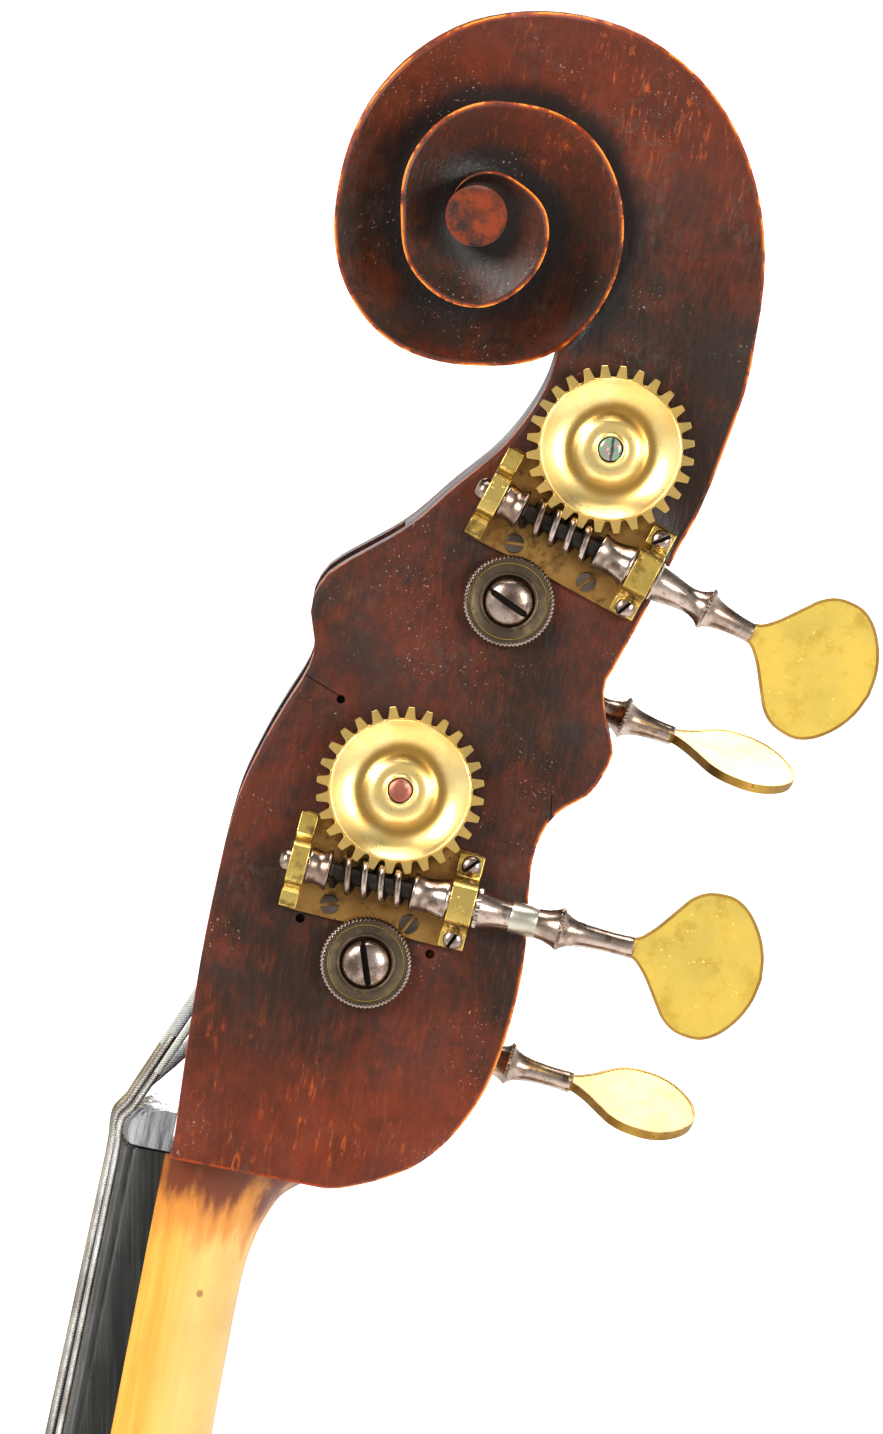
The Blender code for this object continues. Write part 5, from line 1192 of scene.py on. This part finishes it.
def make_worm(name):
    """Worm, journals and the vase-turned key shaft."""
    left = smooth([(4.7, -18.1), (4.95, -17.8), (4.75, -16.8), (4.5, -15.7), (4.55, -14.8), (4.95, -13.8),
                   (5.3, -13.1), (5.25, -12.7), (4.8, -12.4), (3.6, -12.2)], 3)
    right = smooth([(3.6, 9.1), (4.7, 9.3), (4.95, 9.7), (4.8, 10.3), (4.45, 11.5), (4.4, 13.0), (4.75, 15.0),
                    (5.3, 16.9), (5.6, 18.0), (5.45, 18.5)], 3)
    profile = [(0.01, -25.6), (1.5, -25.5), (2.2, -25.1), (2.9, -24.2), (3.0, -23.6), (3.0, -18.1)]
    profile += [tuple(p) for p in left] + [(2.3, -12.0), (2.3, 8.9)] + [tuple(p) for p in right]
    profile += [(3.0, 18.5), (3.0, 25.9), (KNURL_R - 0.2, BEARING_END)]
    outer = LONG_SHAFT if name in ("g", "e") else SHORT_SHAFT
    stretch = (KEY_AT[name] - 0.3 - BEARING_END) / (outer[-1][1] - BEARING_END)
    profile += [(radius, BEARING_END + (u - BEARING_END) * stretch) for radius, u in outer]
    profile += [(outer[-1][0] - 0.1, KEY_AT[name] + 0.5), (outer[-1][0] - 0.7, KEY_AT[name] + 1.0),
                (0.01, KEY_AT[name] + 1.1)]
    steps = 64

    def knurled(radius, height, i):
        if radius == KNURL_R:
            return radius - (0.4 if i % 2 else 0.0)
        return radius

    bm = combine(lathed(profile, steps, knurled), thread(-11.6, 8.7), "UNION")
    if SIDE[name] < 0:
        for vert in bm.verts:
            vert.co.y = -vert.co.y
        bmesh.ops.reverse_faces(bm, faces=bm.faces)
    shaft_piece("worm_shaft", name, bm, "steel", "worm", 30.0)
    if name in ("g", "e"):
        low, high = 35.0, 42.0
        band = [(3.6, low), (3.95, low + 0.1), (4.05, low + 0.4), (4.05, high - 0.4), (3.95, high - 0.1),
                (3.6, high), (3.6, low)]
        shaft_piece("shaft_ferrule", name, lathed(band), "silvered", "worm", 40.0)


KEY_EDGE = [(0.0, 2.6), (1.9, 3.3), (5.2, 6.6), (9.6, 12.6), (12.3, 16.0), (16.0, 18.3), (21.0, 18.9),
            (24.5, 18.0), (28.0, 15.4), (31.3, 11.0), (33.5, 5.8), (34.4, 0.0)]
KEY_TURN = {"g": 0.0, "d": 0.0, "a": 79.0, "e": 75.0}


def key_outline(shrink=0.0):
    """The heart-shaped key from the shaft outwards, as (along, across)."""
    edge = smooth(KEY_EDGE, 6)
    half = []
    last = len(edge) - 1
    for i, point in enumerate(edge):
        run = (edge[min(i + 1, last)] - edge[max(i - 1, 0)]).normalized()
        if i == last:
            run = Vector((0.0, -1.0))
        moved = point + Vector((run.y, -run.x)) * shrink
        half.append(Vector((max(moved.x, shrink), max(moved.y, 0.0))))
    return half + [Vector((p.x, -p.y)) for p in half[-2::-1]]


def make_key(name):
    """Flat brass key with a slightly proud rim painted darker brown as edge shade, and a soldered root."""
    turn = KEY_TURN[name]
    outline = key_outline()
    face = key_outline(0.75)
    to_axis = Matrix(((0, 1, 0, 0), (0, 0, 1, 0), (1, 0, 0, KEY_AT[name]), (0, 0, 0, 1)))
    spin = Matrix.Rotation(math.radians(turn * SIDE[name]), 4, "Z")
    rows = []
    for points, height in ((face, -1.0), (face, -1.15), (outline, -1.2), (outline, -0.95), (outline, 0.95),
                           (outline, 1.2), (face, 1.15), (face, 1.0)):
        rows.append([(p.x, p.y, height) for p in points])
    bm = skinned(rows + rows[:1], caps=False)
    bm.transform(spin @ to_axis)
    # painted shade along the key's edge
    shaft_piece("key_rim", name, bm, "rim_shade_brass", "key", 40.0)
    bm = slab([(p.x, p.y) for p in key_outline(0.6)], -1.02, 1.02)
    bm.transform(spin @ to_axis)
    shaft_piece("key_leaf", name, bm, "key_brass", "key", 30.0, 0.1, 1)


# ---------------------------------------------------------------- strings
def string_height(name, n):
    return -(board_crown(NUT_X[name]) + 1.2 + STRING_R[name]) + n * 0.0204


def neck_world(x, b, n):
    return Vector((x, NUT_Y + b * math.cos(TILT) + n * math.sin(TILT),
                   NUT_Z - b * math.sin(TILT) + n * math.cos(TILT)))


bridge_place = neck_world(0.0, string_height("d", -STRING_LENGTH), -STRING_LENGTH)


def string_path(name):
    """World points from the tailpiece over bridge and nut to the tangent on the winding."""
    cad = frame["nodes"]["string_" + name]
    corners = [cad.matrix_world @ vert.co / MM for vert in cad.data.vertices]
    lowest = min(corners, key=lambda p: p.z)
    near = [p for p in corners if abs(p.z - lowest.z) < 3.0]
    tail = sum(near, Vector()) / len(near)
    band = [p for p in corners if abs(p.z - bridge_place.z) < 8.0]
    bridge = sum(band, Vector()) / len(band)
    height = string_height(name, 0.0)
    nut = [neck_world(NUT_X[name], height - rise, n)
           for n, rise in ((-6.0, -0.1), (-0.5, 0.0), (2.5, 0.35), (6.0, 0.1), (9.0, -2.0))]
    start = Vector((NUT_X[name], height + 2.4, 9.6))
    b, n = CENTRE[name]
    reach = WINDING_R + STRING_R[name]
    away = Vector((b - start.y, n - start.z))
    base = math.atan2(away.y, away.x) + math.asin(reach / away.length)
    length = math.sqrt(away.length ** 2 - reach ** 2)
    end = (WINDING_X[name], start.y + math.cos(base) * length, start.z + math.sin(base) * length)
    return tail, bridge, nut, neck_world(*end)


def make_string(name):
    tail, bridge, nut, end = string_path(name)
    radius = STRING_R[name]
    up = (tail - bridge).normalized()
    over = (nut[0] - bridge).normalized()
    saddle = [bridge + up * 7.0, bridge + up * 3.0, bridge, bridge + over * 3.0, bridge + over * 7.0]
    path = [tail] + smooth(saddle, 3)
    lap_top = nut[-1].lerp(end, 0.10)
    path += smooth(nut + [nut[-1].lerp(end, 0.03)], 4) + [lap_top]
    finish = {"g": "silver_string", "d": "silver_string", "a": "gold_string", "e": "gold_string"}[name]
    bm = tube(path, radius, 14)
    nodes = ["string_" + name]
    piece("steel_string_" + name, bm, finish, "instrument", nodes, WORLD, 60.0)
    lap = [lap_top.lerp(end, i / 24) for i in range(25)]
    colour = {"g": "green_silk", "d": "grey_silk", "a": "green_silk", "e": "grey_silk"}[name]
    bm = tube(lap, radius * 1.06, 14, lambda share: 1.0 + 0.03 * math.sin(share * 90.0))
    piece("silk_lap_" + name, bm, colour, "instrument", nodes, WORLD, 60.0)
    foot = [tail.lerp(bridge, i / 30 * 0.28) for i in range(31)]
    bm = tube(foot, radius * 1.08, 14, lambda share: 1.0 + 0.03 * math.sin(share * 120.0))
    piece("tail_lap_" + name, bm, colour, "instrument", nodes, WORLD, 60.0)


def make_winding(name):
    """The string's last turns, wound along the barrel."""
    radius = STRING_R[name]
    side = SIDE[name]
    across = (cheek_half(CENTRE[name][1]) - WINDING_X[name] * side) / math.cos(CHEEK_TAPER)
    turns = max(2.0, math.floor(8.6 / (2.0 * radius + 0.15)) - 0.5)
    pitch = 2.0 * radius + 0.12
    helix = []
    count = int(turns * 40)
    for i in range(count + 1):
        angle = 2.0 * math.pi * i / 40
        height = -across + pitch * (i / 40 - turns / 2)
        reach = WINDING_R + radius
        helix.append(Vector((reach * math.cos(angle), reach * math.sin(angle), height)))
    bm = tube(helix, radius, 10)
    colour = {"g": "green_silk", "d": "grey_silk", "a": "blue_silk", "e": "grey_silk"}[name]
    machine_piece("wound_turns", name, bm, colour, "winding", 60.0)


# ---------------------------------------------------------------- body
def from_cad(node, name, finish, body="instrument", sharp=35.0, bevel=1.0):
    """A finished copy of a CAD node: rounded edges, smooth shading and a wood or metal finish."""
    mesh = frame["nodes"][node].data.copy()
    mesh.materials.clear()
    bm = bmesh.new()
    bm.from_mesh(mesh)
    bmesh.ops.remove_doubles(bm, verts=bm.verts, dist=1e-6)
    bmesh.ops.dissolve_limit(bm, angle_limit=math.radians(0.5), verts=bm.verts, edges=bm.edges)
    bm.transform(Matrix.Scale(1.0 / MM, 4))
    piece(name, bm, finish, body, [node], WORLD, sharp, bevel, 3)


def make_body():
    from_cad("top_plate", "arched_top", "spruce", sharp=30.0, bevel=2.0)
    from_cad("back_plate", "flat_back", "maple", sharp=30.0, bevel=2.0)
    for rib in ("rib_lower", "rib_centre_treble", "rib_centre_bass", "rib_upper_treble", "rib_upper_bass"):
        from_cad(rib, rib + "_bent", "rib_maple", sharp=30.0, bevel=0.0)
    from_cad("bridge", "carved_bridge", "bridge", sharp=30.0, bevel=0.7)
    from_cad("tailpiece", "ebony_tailpiece", "ebony", bevel=1.2)
    from_cad("saddle", "ebony_saddle", "ebony", bevel=0.8)
    from_cad("tailgut", "tail_wire", "chrome", bevel=0.0)
    from_cad("endpin_collar", "turned_collar", "ebony", bevel=0.6)
    from_cad("endpin_rod", "endpin_shaft", "chrome", "endpin", bevel=0.0)
    from_cad("endpin_foot", "rubber_foot", "rubber", "endpin", bevel=0.6)
    from_cad("endpin_thumbscrew", "wing_screw", "chrome", "thumbscrew", bevel=0.3)
    corners = [f"corner_block_{place}_{side}" for place in ("lower", "upper") for side in ("treble", "bass")]
    for node in ["top_block", "bottom_block", "bass_bar", "sound_post", "back_brace"] + corners:
        for slot in frame["nodes"][node].material_slots:
            slot.material = PALETTE["inner"]


# ---------------------------------------------------------------- stage
FLOOR_HALF = 11000.0
# strengths of the white room: round the sides, overhead, behind the camera, and as the camera sees it
SIDES = 1.15
CEILING = 0.12
ROOM = 0.42
BACKDROP = 1.6


def make_stage():
    reach = (-FLOOR_HALF, FLOOR_HALF)
    bm = skinned([[(x, y, 0.0) for x in reach] for y in reach], closed=False)
    mesh = bpy.data.meshes.new("floor")
    bm.to_mesh(mesh)
    bm.free()
    mesh.transform(Matrix.Scale(MM, 4))
    s = Shader("pale_floor")
    colour = s.mix(s.span(s.noise(1.2, 3.0), 0.3, 0.7), (0.90, 0.90, 0.90), (0.93, 0.93, 0.93))
    mesh.materials.append(s.finish(colour, s.span(s.noise(8.0), 0.3, 0.7, 0.7, 0.8)))
    s.bsdf.inputs["Emission Color"].default_value = (1.0, 1.0, 1.0, 1.0)
    s.bsdf.inputs["Emission Strength"].default_value = 0.40
    floor = bpy.data.objects.new("floor", mesh)
    bpy.context.collection.objects.link(floor)
    floor.location.z = cad_low.z - 0.0005
    bpy.context.view_layer.update()

    world = bpy.data.worlds.new("studio")
    bpy.context.scene.world = world
    world.use_nodes = True
    tree = world.node_tree
    background = tree.nodes["Background"]
    # white behind the object; its reflections see bright sides, a dim ceiling and a dimmer room in front
    rays = tree.nodes.new("ShaderNodeLightPath")
    place = tree.nodes.new("ShaderNodeTexCoord")
    split = tree.nodes.new("ShaderNodeSeparateXYZ")
    tree.links.new(place.outputs["Generated"], split.inputs[0])

    def ramp(source, low, high, first, last):
        node = tree.nodes.new("ShaderNodeMapRange")
        node.interpolation_type = "SMOOTHSTEP"
        tree.links.new(source, node.inputs["Value"])
        for socket, value in (("From Min", low), ("From Max", high), ("To Min", first), ("To Max", last)):
            node.inputs[socket].default_value = value
        return node.outputs["Result"]

    def times(first, second):
        node = tree.nodes.new("ShaderNodeMath")
        node.operation = "MULTIPLY"
        tree.links.new(first, node.inputs[0])
        tree.links.new(second, node.inputs[1])
        return node.outputs[0]

    by_height = ramp(split.outputs["Z"], 0.25, 0.8, SIDES, CEILING)
    glow = times(by_height, ramp(split.outputs["X"], 0.55, 0.92, 1.0, ROOM))
    choice = tree.nodes.new("ShaderNodeMix")
    tree.links.new(rays.outputs["Is Camera Ray"], choice.inputs[0])
    tree.links.new(glow, choice.inputs[2])
    choice.inputs[3].default_value = BACKDROP
    tree.links.new(choice.outputs[0], background.inputs[1])
    background.inputs[0].default_value = (1.0, 1.0, 1.0, 1.0)

    aim = Vector((0.0, 0.01, 1.80))
    for name, offset, size, power, colour in (("key_light", (2.2, -1.7, 1.5), 1.4, 85.0, (1.0, 0.98, 0.95)),
                                              ("fill_light", (2.4, 2.0, 0.3), 1.2, 60.0, (1.0, 0.96, 0.90)),
                                              ("top_light", (0.3, 0.2, 2.6), 1.6, 55.0, (1.0, 1.0, 1.0)),
                                              ("back_light", (-2.4, 0.6, 1.2), 1.8, 60.0, (1.0, 1.0, 1.0))):
        light = bpy.data.lights.new(name, "AREA")
        light.color = colour
        light.size = size
        light.energy = power
        item = bpy.data.objects.new(name, light)
        item.location = aim + Vector(offset)
        item.rotation_euler = (aim - item.location).to_track_quat("-Z", "Y").to_euler()
        bpy.context.collection.objects.link(item)


def make_camera():
    """A long lens from the treble side, level with the scroll."""
    elevation = math.radians(4.2)
    distance = 3.0
    frame_height = 0.3657
    target = Vector((0.030, 0.0119, 1.8245))
    data = bpy.data.cameras.new("camera")
    data.sensor_fit = "VERTICAL"
    data.sensor_height = 36.0
    data.lens = 36.0 * distance / frame_height
    data.clip_end = 100.0
    camera = bpy.data.objects.new("camera", data)
    camera.location = target + Vector((math.cos(elevation), 0.0, math.sin(elevation))) * distance
    camera.rotation_euler = (target - camera.location).to_track_quat("-Z", "Y").to_euler()
    bpy.context.collection.objects.link(camera)
    bpy.context.scene.camera = camera
    bpy.context.scene.view_settings.view_transform = "Standard"


make_camera()
make_stage()
make_head()
make_neck()
make_board()
make_nut()
for string in STRINGS:
    make_frame(string)
    make_gear(string)
    make_roller(string)
    make_cap(string)
    make_worm(string)
    make_key(string)
    make_winding(string)
    make_string(string)
make_body()
